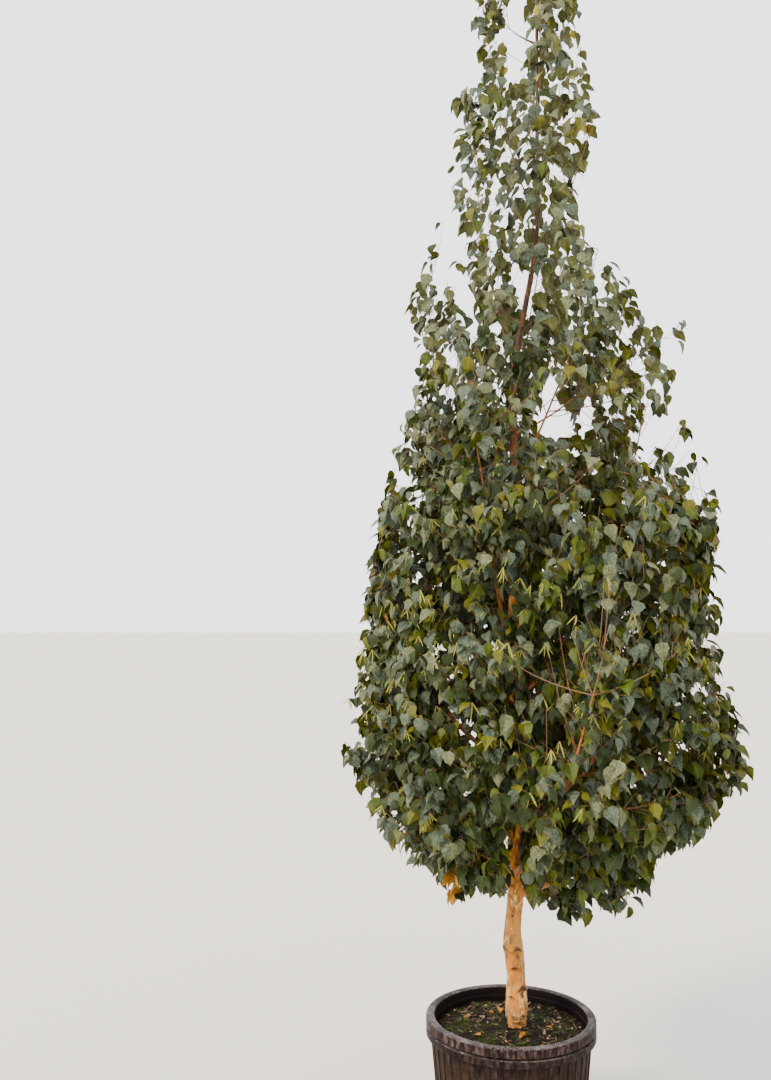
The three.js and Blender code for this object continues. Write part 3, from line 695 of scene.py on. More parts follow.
def within_reach(points, slack=REACH_SLACK):
    off = points[:, :2] - axis_at(points[:, 2])
    out = np.hypot(off[:, 0], off[:, 1])
    reach = crown_reach(points[:, 2], np.arctan2(off[:, 1], off[:, 0]))
    return (out < reach + slack) & (points[:, 2] > LOWEST_LEAF) & (points[:, 2] < TREE_TOP)


def as_seen(points):
    """Where points show on the upright plane through the pot's middle, seen from the front."""
    nearer = VIEW_FROM.y / (VIEW_FROM.y - points[:, 1])
    across = VIEW_FROM.x + (points[:, 0] - VIEW_FROM.x) * nearer
    return across, VIEW_FROM.z + (points[:, 2] - VIEW_FROM.z) * nearer


def in_outline(points, slack=0.0):
    across, up = as_seen(points)
    heights, left, right = zip(*OUTLINE)
    inside = across > np.interp(up, heights, left) - slack
    inside &= across < np.interp(up, heights, right) + slack
    return inside & (up > np.interp(across, *zip(*UNDERSIDE)) - slack)


masses = []
for i in range(BOUGHS["count"]):
    share = i / (BOUGHS["count"] - 1)
    path = clear_sweep(
        lerp(*BOUGHS["tips"], share ** BOUGHS["crowding"]), FIRST_ROOT + i * ROOT_SPACING,
        BOUGHS["turn"] + i * GOLDEN_ANGLE, 1, lerp(*BOUGHS["rise"], share),
    )
    thick = trunk_radius(path[0].z) * BOUGH_RADIUS["share"]
    root = min(max(thick, BOUGH_RADIUS["least"]), BOUGH_RADIUS["most"])
    bare = lerp(*BOUGHS["bare"], share)
    masses.append({"node": f"bough_foliage_{i + 1}", "path": path, "from": bare, "root": root})
for i in range(TRUNK_MASSES["count"]):
    share = i / (TRUNK_MASSES["count"] - 1)
    path = clear_sweep(
        lerp(*TRUNK_MASSES["tips"], share ** TRUNK_MASSES["crowding"]), FIRST_ROOT + (i + 0.5) * ROOT_SPACING,
        TRUNK_MASSES["turn"] + i * GOLDEN_ANGLE, TRUNK_MASSES["reach"], TRUNK_MASSES["rise"],
    )
    root = TRUNK_MASSES["radius"]
    masses.append({"node": f"trunk_foliage_{i + 1}", "path": path, "from": 0.0, "root": root})
leader_root = trunk_point(TRUNK_TIP)
leader_tip = Vector((leader_root.x, leader_root.y, TREE_TOP))
leader = (leader_root, leader_root.lerp(leader_tip, 0.5), leader_tip)
masses.append({"node": "leader_foliage", "path": leader, "from": 0.0, "root": TRUNK_TIP_RADIUS})

# The boughs and their leading shoots. Each is one long tapering limb in coppery bark, swollen where
# it joins the trunk, and thinning to a shoot at the edge of the crown.
LIMB_STEPS = 44
LIMB_SIDES = 10
LIMB_SWELL = {"by": 0.55, "fade": 0.022}
LIMB_WOBBLE = {"by": 0.006, "scale": 7}
LIMB_THINNING = 0.75
LIMB_GIRTH = {"low": 1.0, "high": 0.6, "from": 1.9, "to": 2.7}
SHOOT_TIP_RADIUS = 0.0013


def tubes(paths, radii, sides):
    """Tubes along rows of points, with a radius at each point, capped, as arrays."""
    paths, radii = np.asarray(paths, float), np.asarray(radii, float)
    count, rows = radii.shape
    ahead = np.gradient(paths, axis=1)
    ahead /= np.linalg.norm(ahead, axis=2, keepdims=True)
    across = np.cross(ahead[:, 0], np.where(np.abs(ahead[:, :1, 2]) < 0.9, [[0, 0, 1.0]], [[1.0, 0, 0]]))
    turns = np.arange(sides) * math.tau / sides
    corners = np.empty((count, rows, sides, 3))
    for row in range(rows):
        across = across - np.sum(across * ahead[:, row], axis=1, keepdims=True) * ahead[:, row]
        across /= np.linalg.norm(across, axis=1, keepdims=True)
        other = np.cross(ahead[:, row], across)
        out = across[:, None] * np.cos(turns)[:, None] + other[:, None] * np.sin(turns)[:, None]
        corners[:, row] = paths[:, row, None] + out * radii[:, row, None, None]
    side, row = np.meshgrid(np.arange(sides), np.arange(rows - 1))
    here, above, follow = row * sides, (row + 1) * sides, (side + 1) % sides
    quads = np.stack([here + side, here + follow, above + follow, above + side], -1).reshape(-1, 4)
    caps = np.concatenate([np.arange(sides)[::-1], (rows - 1) * sides + np.arange(sides)])
    loops = np.concatenate([quads.ravel(), caps])
    steps = np.linalg.norm(np.diff(paths, axis=1), axis=2)
    run = np.concatenate([np.zeros((count, 1)), np.cumsum(steps, axis=1)], axis=1)
    girth = radii.max(axis=1)[:, None, None] * math.tau / sides
    u = np.stack([side, side + 1, side + 1, side], -1).reshape(-1, 4)
    v = np.stack([row, row, row + 1, row + 1], -1).reshape(-1, 4)
    flat = np.stack([np.broadcast_to(u * girth, (count, *u.shape)), run[:, v]], -1).reshape(count, -1, 2)
    ends = np.zeros((count, 2 * sides, 2))
    return {
        "corners": corners.reshape(-1, 3),
        "loops": (np.arange(count)[:, None] * rows * sides + loops).ravel(),
        "sizes": np.tile(np.concatenate([np.full(len(quads), 4), [sides, sides]]), count),
        "slots": np.zeros(count * (len(quads) + 2), int),
        "uvs": np.concatenate([flat, ends], axis=1).reshape(-1, 2),
    }


def respaced(line, last, count):
    """So many points, evenly along a line as far as its point number last."""
    kept = np.linspace(0, last, count)
    return np.stack([np.interp(kept, range(len(line)), line[:, k]) for k in range(3)], -1)


def charted(paint, stretch=(1, 1, 1)):
    spot = paint.node("ShaderNodeUVMap", uv_map="surface").outputs[0]
    return paint.node("ShaderNodeMapping", {"Vector": spot, "Scale": stretch}).outputs[0]


def shoot_bark(name, dark, light, grey, high):
    """Copper with long fibres and pale pores, greyed in patches, and darker high in the crown."""
    paint = Paint(name, 0.48, 0.45)
    fibres = paint.grain(charted(paint, (220, 60, 1)), 1.0, 4, 0.6)
    fibrous = paint.ramped(fibres, (0.3, dark), (0.7, light))
    copper = paint.painted(paint.between(paint.grain(paint.place(), 11, 4, 0.6), 0.38, 0.62), fibrous, grey)
    pores = paint.between(paint.grain(charted(paint, (160, 420, 1)), 1.0, 1), 0.66, 0.72, 0, 0.7)
    risen = paint.painted(paint.between(paint.parts(paint.place())[2], 2.3, 3.0, 0, 0.85), copper, high)
    return paint.finished(
        paint.painted(pores, risen, (0.300, 0.160, 0.080)), paint.plus(fibres, pores), 0.4, 0.0006,
    )


def shaken(point, share):
    """A point of a limb moved a little off its sweep, though not at the limb's root."""
    across = noise.noise(point * LIMB_WOBBLE["scale"])
    along = noise.noise(point * LIMB_WOBBLE["scale"] + Vector((9, 0, 0)))
    return point + Vector((across, along, 0)) * LIMB_WOBBLE["by"] * min(share * 4, 1)


paths, radii = [], []
shares = np.linspace(0, 1, LIMB_STEPS)
for mass in masses:
    start, root = mass["from"], mass["path"][0]
    points = [on_sweep(mass["path"], share) for share in shares]
    line = as_array(shaken(point, share) for point, share in zip(points, shares))
    outside = np.flatnonzero(~in_outline(line) & (shares > max(start, 0.3)))
    last = outside[0] if len(outside) else LIMB_STEPS - 1
    paths.append(respaced(line, last, LIMB_STEPS))
    mass["from"] = min(start * (LIMB_STEPS - 1) / last, 0.9)
    mass["line"] = [Vector(point) for point in paths[-1]]
    bared = np.clip(shares / max(start, 0.01), 0, 1)
    beyond = np.clip((shares - start) / (1 - start), 0, 1)
    thin = lerp(1.0, BOUGH_RADIUS["tip"] if start else 1.0, bared) * (1 - beyond) ** LIMB_THINNING
    girth = by_height(root.z, LIMB_GIRTH)
    run = np.cumsum([0] + [(b - a).length for a, b in zip(points, points[1:])])
    swell = LIMB_SWELL["by"] * np.exp(-np.maximum(run - trunk_radius(root.z), 0) / LIMB_SWELL["fade"])
    if mass["node"] == "leader_foliage":
        swell = 0
    radii.append(np.maximum(mass["root"] * thin * girth, SHOOT_TIP_RADIUS) * (1 + swell))
bough_nodes = [f"bough_{i + 1}" for i in range(BOUGHS["count"])]
bough_bark = shoot_bark(
    "bough_bark", (0.190, 0.050, 0.008), (0.540, 0.170, 0.018), (0.330, 0.120, 0.035), (0.060, 0.030, 0.015),
)
limbs = tubes(paths, radii, LIMB_SIDES)
joined_piece("boughs_and_shoots", limbs, [bough_bark], bough_nodes, 60)

# The twigs. Long side shoots leave each leading shoot in a spiral and bend up towards the light, more
# shoots fill what is left of the crown, and short twigs stand on them all. They keep within the
# crown's reach and to its outline as seen from the front, and leave open the gaps where sky shows.
GAPS = [
    (0.150, 2.556, 0.050, 0.092), (0.560, 2.470, 0.055, 0.050), (0.500, 2.360, 0.030, 0.030),
    (-0.210, 2.600, 0.028, 0.050), (-0.185, 2.737, 0.028, 0.030), (0.440, 2.830, 0.045, 0.030),
    (0.052, 3.960, 0.040, 0.200), (-0.107, 3.770, 0.030, 0.060), (-0.200, 3.170, 0.035, 0.070),
    (0.330, 3.010, 0.024, 0.050), (0.206, 2.695, 0.018, 0.020), (-0.106, 2.570, 0.018, 0.020),
]
STREAKS = {
    "across": 15.0, "up": 4.2,
    "heights": (2.1, 2.5, 2.75, 2.95, 3.3, 3.6), "limits": (-0.80, -0.54, -0.28, -0.42, -0.38, -0.54),
}
CHINKS = {
    "across": 40.0, "up": 22.0,
    "heights": (2.15, 2.4, 2.6, 2.75, 2.95), "limits": (-0.80, -0.42, -0.13, -0.13, -0.32),
}
# Each window shows a stretch of one mass's limb, or of the trunk: (mass, lowest, highest).
WINDOWS = [
    (28, 2.19, 2.46), (28, 1.50, 1.60), (28, 0.86, 1.13), (19, 1.52, 1.72), (8, 1.72, 1.86), (7, 1.88, 2.01),
    (5, 1.22, 1.33), (4, 1.38, 1.46), (3, 1.06, 1.16),
]
WINDOW_POINTS = 400
WINDOW_WIDE = 0.027
WINDOW_VEIL = {"scale": 35, "above": 0.12}
SPINE_SAMPLES = 7
SPINE_START = 0.25
SPACE_SHARED = 0.080
FULL_LEAF_REACH = 0.640
SHOOT = {"length": 0.560, "shortest": 0.090, "shorter": 0.82, "radius": 0.0030, "angle": 0.85, "tries": 6}
SHOOT_VARIES = {"angle": (0.75, 1.25), "length": (0.5, 1), "lift": (0.30, 0.85)}
SHOOT_END = {"share": 0.97, "length": 0.55}
SHOOT_STEP = {"low": 0.055, "high": 0.085, "from": 1.7, "to": 3.3}
SHOOT_ROWS = 7
UPRIGHT = {"low": 0.45, "high": 0.96, "from": 2.2, "to": 3.0}
UPRIGHT_WEIGHT = {"above": 1.05, "crown": 0.30, "skirt": 0.02}
END_SHOOTS = {"count": 4, "length": 0.420, "lean": 0.35, "back": 0.07}
TRUNK_TWIGS = {"length": 0.380, "count": 70, "lowest": 0.900, "crowding": 1.25}
FILLING = {"tries": 4200, "crowding": 1.1, "clear": 0.02, "shortest": 0.08, "longest": 0.52}
FILLING_APART = {"low": 0.076, "high": 0.050, "from": 1.8, "to": 3.1}
FILLING_INNER = {"low": 0.35, "high": 0.05, "from": 1.8, "to": 3.1}
FILLING_BOW = {"out": 0.16, "down": 0.10}
TWIG = {"length": 0.150, "least": 0.018, "radius": 0.0012, "step": 0.0330, "end_angle": 0.25, "back": 0.30}
TWIG_VARIES = {"angle": (0.55, 1.05), "length": (0.35, 1.0), "lift": (0.1, 0.45)}
TWIG_ROWS = 2
WITHIN_OUTLINE = {"side": -0.012, "filling": -0.008, "twig": -0.004}

spines = np.array([
    as_array(
        on_sweep(mass["path"], lerp(max(mass["from"], SPINE_START), 1, k / (SPINE_SAMPLES - 1)))
        for k in range(SPINE_SAMPLES)
    )
    for mass in masses
])


def sky_shows(point):
    """True in the gaps, and in upright streaks between the shoots that widen towards the top."""
    (across,), (up,) = as_seen(as_array([point]))
    if any(((across - x) / wide) ** 2 + ((up - z) / tall) ** 2 < 1 for x, z, wide, tall in GAPS):
        return True
    return any(
        noise.noise(Vector((across * breaks["across"], 4.0, up * breaks["up"])))
        < np.interp(up + 0.6 * across, breaks["heights"], breaks["limits"])
        for breaks in (STREAKS, CHINKS)
    )


windows = []
for number, low, high in WINDOWS:
    line = trunk_line if number == len(masses) else as_array(masses[number]["line"])
    line = respaced(line, len(line) - 1, WINDOW_POINTS)
    across, up = as_seen(line)
    windows.append(np.stack([across, up, line[:, 1]], -1)[(up > low) & (up < high)])
windows = np.concatenate(windows)


def left_open(point):
    """True where sky shows, and where a leaf or twig would hide a limb that the windows show."""
    if sky_shows(point):
        return True
    (across,), (up,) = as_seen(as_array([point]))
    near = np.hypot(windows[:, 0] - across, windows[:, 1] - up) < WINDOW_WIDE
    veiled = noise.noise(Vector(point) * WINDOW_VEIL["scale"]) > WINDOW_VEIL["above"]
    return bool(near.any()) and not veiled and point[1] < windows[near, 2].max() + 0.01


def in_own_space(mass, points):
    if mass == len(masses):
        return within_reach(points)
    starts, spans = spines[:, :-1], np.diff(spines, axis=1)
    to_point = points[:, None, None] - starts
    share = np.clip(np.sum(to_point * spans, -1) / np.sum(spans * spans, -1), 0, 1)
    near = np.linalg.norm(to_point - share[..., None] * spans, axis=-1).min(axis=2)
    own = near[:, mass] - SPACE_SHARED
    near[:, mass] = np.inf
    return within_reach(points) & (near.min(axis=1) > own)


def size_at(height):
    return min(max(crown_reach(height, 0) / FULL_LEAF_REACH, 0.6), 1)


def heading_from(along, turn, angle):
    side = Vector((0, 1, 0)).cross(along).normalized()
    side.rotate(Matrix.Rotation(turn, 3, along))
    return along * math.cos(angle) + side * math.sin(angle)


def bent_up(start, heading, length, rows, lift):
    """A shoot that starts along its heading and turns up as it goes."""
    shares = np.linspace(0, 1, rows)[:, None]
    ahead, up = np.array(heading[:]), np.array([0, 0, 1.0])
    return np.array(start[:]) + length * (shares * ahead + lift * shares**2 * (up - 0.55 * ahead))


def along_line(line, share):
    place = min(int(share * (len(line) - 1)), len(line) - 2)
    step = Vector(line[place + 1]) - Vector(line[place])
    return Vector(line[place]) + step * (share * (len(line) - 1) - place), step.normalized()


def grown_shoot(number, twig, base, along, longest, angle=SHOOT["angle"]):
    """The first of a few headings, and the first of a few lengths, that keeps to its mass's space."""
    for attempt in range(SHOOT["tries"]):
        luck = [chance(number, twig, use + attempt * 7) for use in (0.71, 0.11, 0.31)]
        turn = (twig + attempt) * GOLDEN_ANGLE + number
        heading = heading_from(along, turn, angle * lerp(*SHOOT_VARIES["angle"], luck[0]))
        reach = longest * size_at(base.z) * lerp(*SHOOT_VARIES["length"], luck[1])
        while reach > SHOOT["shortest"]:
            points = bent_up(base, heading, reach, SHOOT_ROWS, lerp(*SHOOT_VARIES["lift"], luck[2]))
            kept_in = in_own_space(number, points[2:]).all()
            if kept_in and in_outline(points[2:], WITHIN_OUTLINE["side"]).all():
                return [(points, reach)]
            reach *= SHOOT["shorter"]
    return []


side_shoots, leading_shoots = [], []
upright = Vector((0, 0, 1))
for number, mass in enumerate(masses):
    line, start = mass["line"], max(mass["from"], 0.04)
    length = sum((b - a).length for a, b in zip(line, line[1:]))
    count = round(length * (1 - start) / by_height(line[-1].z, SHOOT_STEP))
    for twig in range(count):
        share = lerp(start, SHOOT_END["share"], (twig + 0.5) / count)
        longest = SHOOT["length"] * lerp(1.0, SHOOT_END["length"], (share - start) / (1 - start))
        side_shoots += grown_shoot(number, twig, *along_line(line, share), longest)
    for twig in range(END_SHOOTS["count"]):
        base, _ = along_line(line, 1 - END_SHOOTS["back"] * twig)
        lean = END_SHOOTS["lean"]
        side_shoots += grown_shoot(number, 90 + twig, base, upright, END_SHOOTS["length"], lean)
    leading_shoots.append((as_array(line[round(start * (LIMB_STEPS - 1)):]), length * (1 - start)))
for twig in range(TRUNK_TWIGS["count"]):
    climbed = ((twig + 0.5) / TRUNK_TWIGS["count"]) ** TRUNK_TWIGS["crowding"]
    base = trunk_point(lerp(TRUNK_TWIGS["lowest"], TRUNK_TIP, climbed))
    side_shoots += grown_shoot(len(masses), twig, base, upright, TRUNK_TWIGS["length"])

wood_points = np.concatenate([as_array(mass["line"]) for mass in masses] + [trunk_line[20:]])
taken = np.concatenate([wood_points] + [line for line, _ in side_shoots])
for attempt in range(FILLING["tries"]):
    luck = [chance(attempt, 500, use) for use in (0.13, 0.37, 0.59)]
    height = lerp(LOWEST_LEAF + FILLING["clear"], TREE_TOP, luck[0] ** FILLING["crowding"])
    turn = math.tau * luck[1]
    out = crown_reach(height, turn) * lerp(by_height(height, FILLING_INNER), 1.0, math.sqrt(luck[2]))
    goal = np.array([*(axis_at(height) + out * np.array([math.cos(turn), math.sin(turn)])), height])
    nearest = np.linalg.norm(taken - goal, axis=1).min()
    if not in_outline(goal[None])[0] or nearest < by_height(height, FILLING_APART):
        continue
    away = goal - wood_points
    far = np.linalg.norm(away, axis=1)
    weight = UPRIGHT_WEIGHT["crown" if height > UPRIGHT_WEIGHT["above"] else "skirt"]
    best = np.argmin(far + np.clip(by_height(height, UPRIGHT) - away[:, 2] / far, 0, 2) * weight)
    if not FILLING["shortest"] < far[best] < FILLING["longest"]:
        continue
    base, span = Vector(wood_points[best]), Vector(away[best])
    bow = Vector((span.x, span.y, 0)) * FILLING_BOW["out"]
    elbow = base + span * 0.5 + bow - Vector((0, 0, FILLING_BOW["down"] * far[best]))
    line = as_array(on_sweep((base, elbow, Vector(goal)), k / (SHOOT_ROWS - 1)) for k in range(SHOOT_ROWS))
    if in_outline(line[2:], WITHIN_OUTLINE["filling"]).all():
        side_shoots.append((line, far[best]))
        taken = np.concatenate([taken, line])

twigs = []
for order, (line, reach) in enumerate(side_shoots + leading_shoots):
    steps = round(reach / (TWIG["step"] * lerp(0.8, 1.0, size_at(line[-1][2]))))
    for k in range(steps):
        share = 1 - k / steps
        base, along = along_line(line, share)
        luck = [chance(order + 60, k, use) for use in (0.2, 0.4, 0.6)]
        angle = TWIG["end_angle"] if k == 0 else lerp(*TWIG_VARIES["angle"], luck[0])
        heading = heading_from(along, k * GOLDEN_ANGLE + order * 1.3, angle)
        back = min((1 - share) * reach / TWIG["back"], 1)
        longer = back**0.8 * lerp(*TWIG_VARIES["length"], luck[1])
        run = lerp(TWIG["least"], TWIG["length"], longer) * size_at(base.z)
        twig = bent_up(base, heading, run, TWIG_ROWS, lerp(*TWIG_VARIES["lift"], luck[2]))
        kept_in = within_reach(twig[1:]).all() and in_outline(twig[1:], WITHIN_OUTLINE["twig"]).all()
        if kept_in and not left_open(twig[-1]):
            twigs.append((order, twig, run, share))

# The leaves. Birch leaves, broad at the base and drawn out to a long point, hanging by thin stalks
# from the finer twigs, folded along the midrib with the point turned back. They are bluish green
# under a grey bloom above and olive below, with a few yellow and amber ones dealt out by spray.
LEAF_LENGTH = 0.057
LEAF_ROWS = [(0.0, 0.0), (0.09, 0.27), (0.34, 0.365), (0.67, 0.18), (1.0, 0.0)]
LEAF_THICK = 0.008
STALK_RUN = 0.22
STALK_RISE = 0.08
# Each form is (fold, recurve, droop, skew).
LEAF_FORMS = [
    (0.20, 1.10, 0.45, 0.05), (0.05, 1.60, 0.90, -0.08), (0.45, 0.70, 0.25, 0.09),
    (0.12, 2.10, 0.60, -0.05), (-0.15, 1.40, 1.30, 0.06),
]
FALLEN_FORM = 2
FALLEN_LEAVES = (11, 14, 0.060, 0.235, 0.034, (1, 1, 1), 0.008)
# Each colour is (deep, light, vein, bloom, most bloom).
LEAF_COLOURS = {
    "blue_green": (
        (0.012, 0.022, 0.008), (0.044, 0.061, 0.031), (0.100, 0.124, 0.061), (0.146, 0.174, 0.133), 0.48,
    ),
    "grey_green": (
        (0.022, 0.030, 0.006), (0.071, 0.082, 0.028), (0.143, 0.156, 0.068), (0.210, 0.220, 0.141), 0.48,
    ),
    "deep_green": (
        (0.003, 0.008, 0.001), (0.015, 0.025, 0.001), (0.040, 0.058, 0.007), (0.045, 0.056, 0.016), 0.30,
    ),
    "fresh_green": (
        (0.012, 0.023, 0.001), (0.052, 0.074, 0.001), (0.110, 0.137, 0.010), (0.096, 0.110, 0.010), 0.25,
    ),
    "olive": (
        (0.035, 0.034, 0.001), (0.100, 0.098, 0.002), (0.169, 0.167, 0.014), (0.143, 0.139, 0.018), 0.20,
    ),
    "yellow": (
        (0.150, 0.125, 0.004), (0.360, 0.290, 0.030), (0.480, 0.400, 0.080), (0.400, 0.340, 0.100), 0.20,
    ),
    "amber": (
        (0.160, 0.050, 0.003), (0.380, 0.160, 0.006), (0.420, 0.220, 0.020), (0.360, 0.200, 0.030), 0.15,
    ),
    "under_olive": (
        (0.025, 0.031, 0.001), (0.081, 0.092, 0.002), (0.156, 0.167, 0.020), (0.114, 0.121, 0.015), 0.20,
    ),
    "under_pale": (
        (0.049, 0.056, 0.011), (0.117, 0.127, 0.030), (0.212, 0.218, 0.073), (0.181, 0.190, 0.080), 0.30,
    ),
    "stalk": (
        (0.120, 0.080, 0.012), (0.220, 0.150, 0.028), (0.200, 0.145, 0.050), (0.200, 0.145, 0.050), 0.10,
    ),
}
BLUE, GREY, DEEP, FRESH, OLIVE, YELLOW, AMBER, UNDER_OLIVE, UNDER_PALE, STALK = range(10)
YELLOW_TOP = {"above": 3.55, "right_of": 0.12, "share": 0.10}
YELLOW_ELSEWHERE = 0.9985
SPRAY_KEEPS = 0.72
DRIED = (-0.195, 0.890, 0.024, 0.060)
HANG = {"least": 0.05, "most": 1.20, "turn": 1.25, "roll": 0.60, "smaller": 0.62, "larger": 1.20}
PAIRED_TURN = 0.9
LEAF_STEP = 0.0165
ONE_MORE_LEAF = 0.45
LARGER_LEAF = {"top": 1.08, "inside": 1.25}
LEAF_TIP = Vector((0, 0.7, -0.3))
LEAF_NEEDED = 0.045
LEAF_PAST = {"reach": 0.016, "outline": 0.014}
INNER = {"from": 0.36, "to": 0.72, "share": 0.48}
POCKETS = {"scale": 8.5, "outside": 0.76, "below": -0.17, "up_to": 2.9}
CROWDED = {"cell": 0.034, "heights": (2.0, 2.4, 2.7, 3.0, 3.3), "most": (15.0, 6.5, 3.0, 2.1, 1.7)}


def leaf_shape(fold, recurve, droop, skew):
    """A closed thin blade one unit long: folded up along its midrib, rolled back along its length,
    with its margins drooping, and a stalk behind it that starts at the origin."""
    blade = bmesh.new()
    last_row = len(LEAF_ROWS) - 1
    bmesh.ops.create_grid(blade, x_segments=2, y_segments=last_row, size=0.5)
    chart = blade.loops.layers.uv.new("surface")
    for loop in [loop for face in blade.faces for loop in face.loops]:
        along, half = LEAF_ROWS[round((loop.vert.co.y + 0.5) * last_row)]
        loop[chart].uv = (0.5 + round(loop.vert.co.x * 2) * half, along)
    under = bmesh.ops.duplicate(blade, geom=blade.verts[:] + blade.edges[:] + blade.faces[:])["geom"]
    below = {part for part in under if isinstance(part, bmesh.types.BMVert)}
    for vertex in blade.verts:
        column = round(vertex.co.x * 2)
        along, half = LEAF_ROWS[round((vertex.co.y + 0.5) * last_row)]
        rise = fold * half * abs(column) - droop * (half * column) ** 2
        if vertex in below and column == 0 and 0 < along < 1:
            rise -= LEAF_THICK
        rolled = recurve * along
        spine = Vector((skew * along**2, math.sin(rolled) / recurve, (math.cos(rolled) - 1) / recurve))
        up = Vector((0, math.sin(rolled), math.cos(rolled)))
        vertex.co = spine + up * rise + Vector((column * half, 0, 0))
    for face in [part for part in under if isinstance(part, bmesh.types.BMFace)]:
        face.normal_flip()
        face.material_index = 1
    bmesh.ops.remove_doubles(blade, verts=blade.verts, dist=1e-5)
    bmesh.ops.translate(blade, verts=blade.verts, vec=(0, STALK_RUN, STALK_RISE))
    lean = math.atan2(STALK_RISE, STALK_RUN)
    long = math.hypot(STALK_RUN, STALK_RISE) + 0.02
    middle = Matrix.Translation((0, STALK_RUN / 2, STALK_RISE / 2))
    tube = bmesh.ops.create_cone(
        blade, cap_ends=True, segments=3, radius1=0.012, radius2=0.009, depth=long,
        matrix=middle @ Matrix.Rotation(lean - math.pi / 2, 4, "X"),
    )
    for face in {face for vertex in tube["verts"] for face in vertex.link_faces}:
        face.material_index = 2
    return taken_from(blade)


def leaf_material(name, deep, light, vein, bloom, bloom_most):
    """Patchy green under a dusty bloom, with a midrib and slanting side veins by the leaf's chart."""
    paint = Paint(name, 0.50, 0.18)
    patches = paint.grain(paint.place(), 34, 4, 0.6)
    film = paint.between(paint.grain(paint.place(), 150, 4, 0.7), 0.38, 0.66, 0, bloom_most)
    dusty = paint.painted(film, paint.ramped(patches, (0.32, deep), (0.68, light)), bloom)
    across, along, _ = paint.parts(charted(paint))
    off = paint.worked("ABSOLUTE", paint.worked("SUBTRACT", across, 0.5))
    slope = paint.worked("SUBTRACT", along, paint.times(off, 0.95))
    rows = paint.worked("FRACT", paint.times(slope, 8.5))
    from_row = paint.worked("ABSOLUTE", paint.worked("SUBTRACT", rows, 0.5))
    midrib = paint.between(off, 0.008, 0.024, 1, 0)
    veins = paint.worked("MAXIMUM", midrib, paint.between(from_row, 0.03, 0.10, 0.45, 0))
    veined = paint.painted(paint.times(veins, 0.6), dusty, vein)
    return paint.finished(veined, paint.worked("SUBTRACT", patches, veins), 0.35, 0.0008)


def spray_colour(order, at):
    """The slot of a spray's uppersides, by chance and by its place on the tree, with painted sunlight making
    the top of the crown greyer.
    """
    luck, pale, top = chance(order + 7, 3, 0.9), eased(at[2], 1.0, 2.4), eased(at[2], 2.5, 3.1)
    in_yellow_top = at[2] > YELLOW_TOP["above"] and at[0] > YELLOW_TOP["right_of"]
    if luck > YELLOW_ELSEWHERE or (in_yellow_top and luck < YELLOW_TOP["share"]):
        return YELLOW
    # The grey share rises with height from 1.0 m. Above 2.5 m it rises further and the deep green share
    # falls, as painted sunlight on the top of the crown.
    grey = lerp(0.30, 0.60, pale) + 0.20 * top
    shares = ((lerp(0.24, 0.34, pale), BLUE), (grey, GREY), (0.80 + 0.06 * top, DEEP), (0.93, FRESH))
    return next((slot for limit, slot in shares if luck < limit), OLIVE)


def leaf_place(root, outward, luck, size):
    droop = lerp(HANG["least"], HANG["most"], luck(0.31))
    turn = lerp(-HANG["turn"], HANG["turn"], luck(0.57))
    roll = lerp(-HANG["roll"], HANG["roll"], luck(0.83))
    along = outward.copy()
    along.rotate(Matrix.Rotation(turn, 3, "Z"))
    along = along * math.cos(droop) - upright * math.sin(droop)
    across = along.cross(upright).normalized()
    across.rotate(Matrix.Rotation(roll, 3, along))
    up = across.cross(along)
    length = LEAF_LENGTH * size * lerp(HANG["smaller"], HANG["larger"], luck(0.13))
    turned = Matrix((across, along, up)).transposed().to_4x4()
    return Matrix.Translation(root) @ turned @ Matrix.Scale(length, 4)


leaf_materials = [leaf_material(name, *colours) for name, colours in LEAF_COLOURS.items()]
leaf_forms = [leaf_shape(*form) for form in LEAF_FORMS]
places, slots_of = [[] for _ in leaf_forms], [[] for _ in leaf_forms]
in_sight, bearing, borne = {}, set(), {}


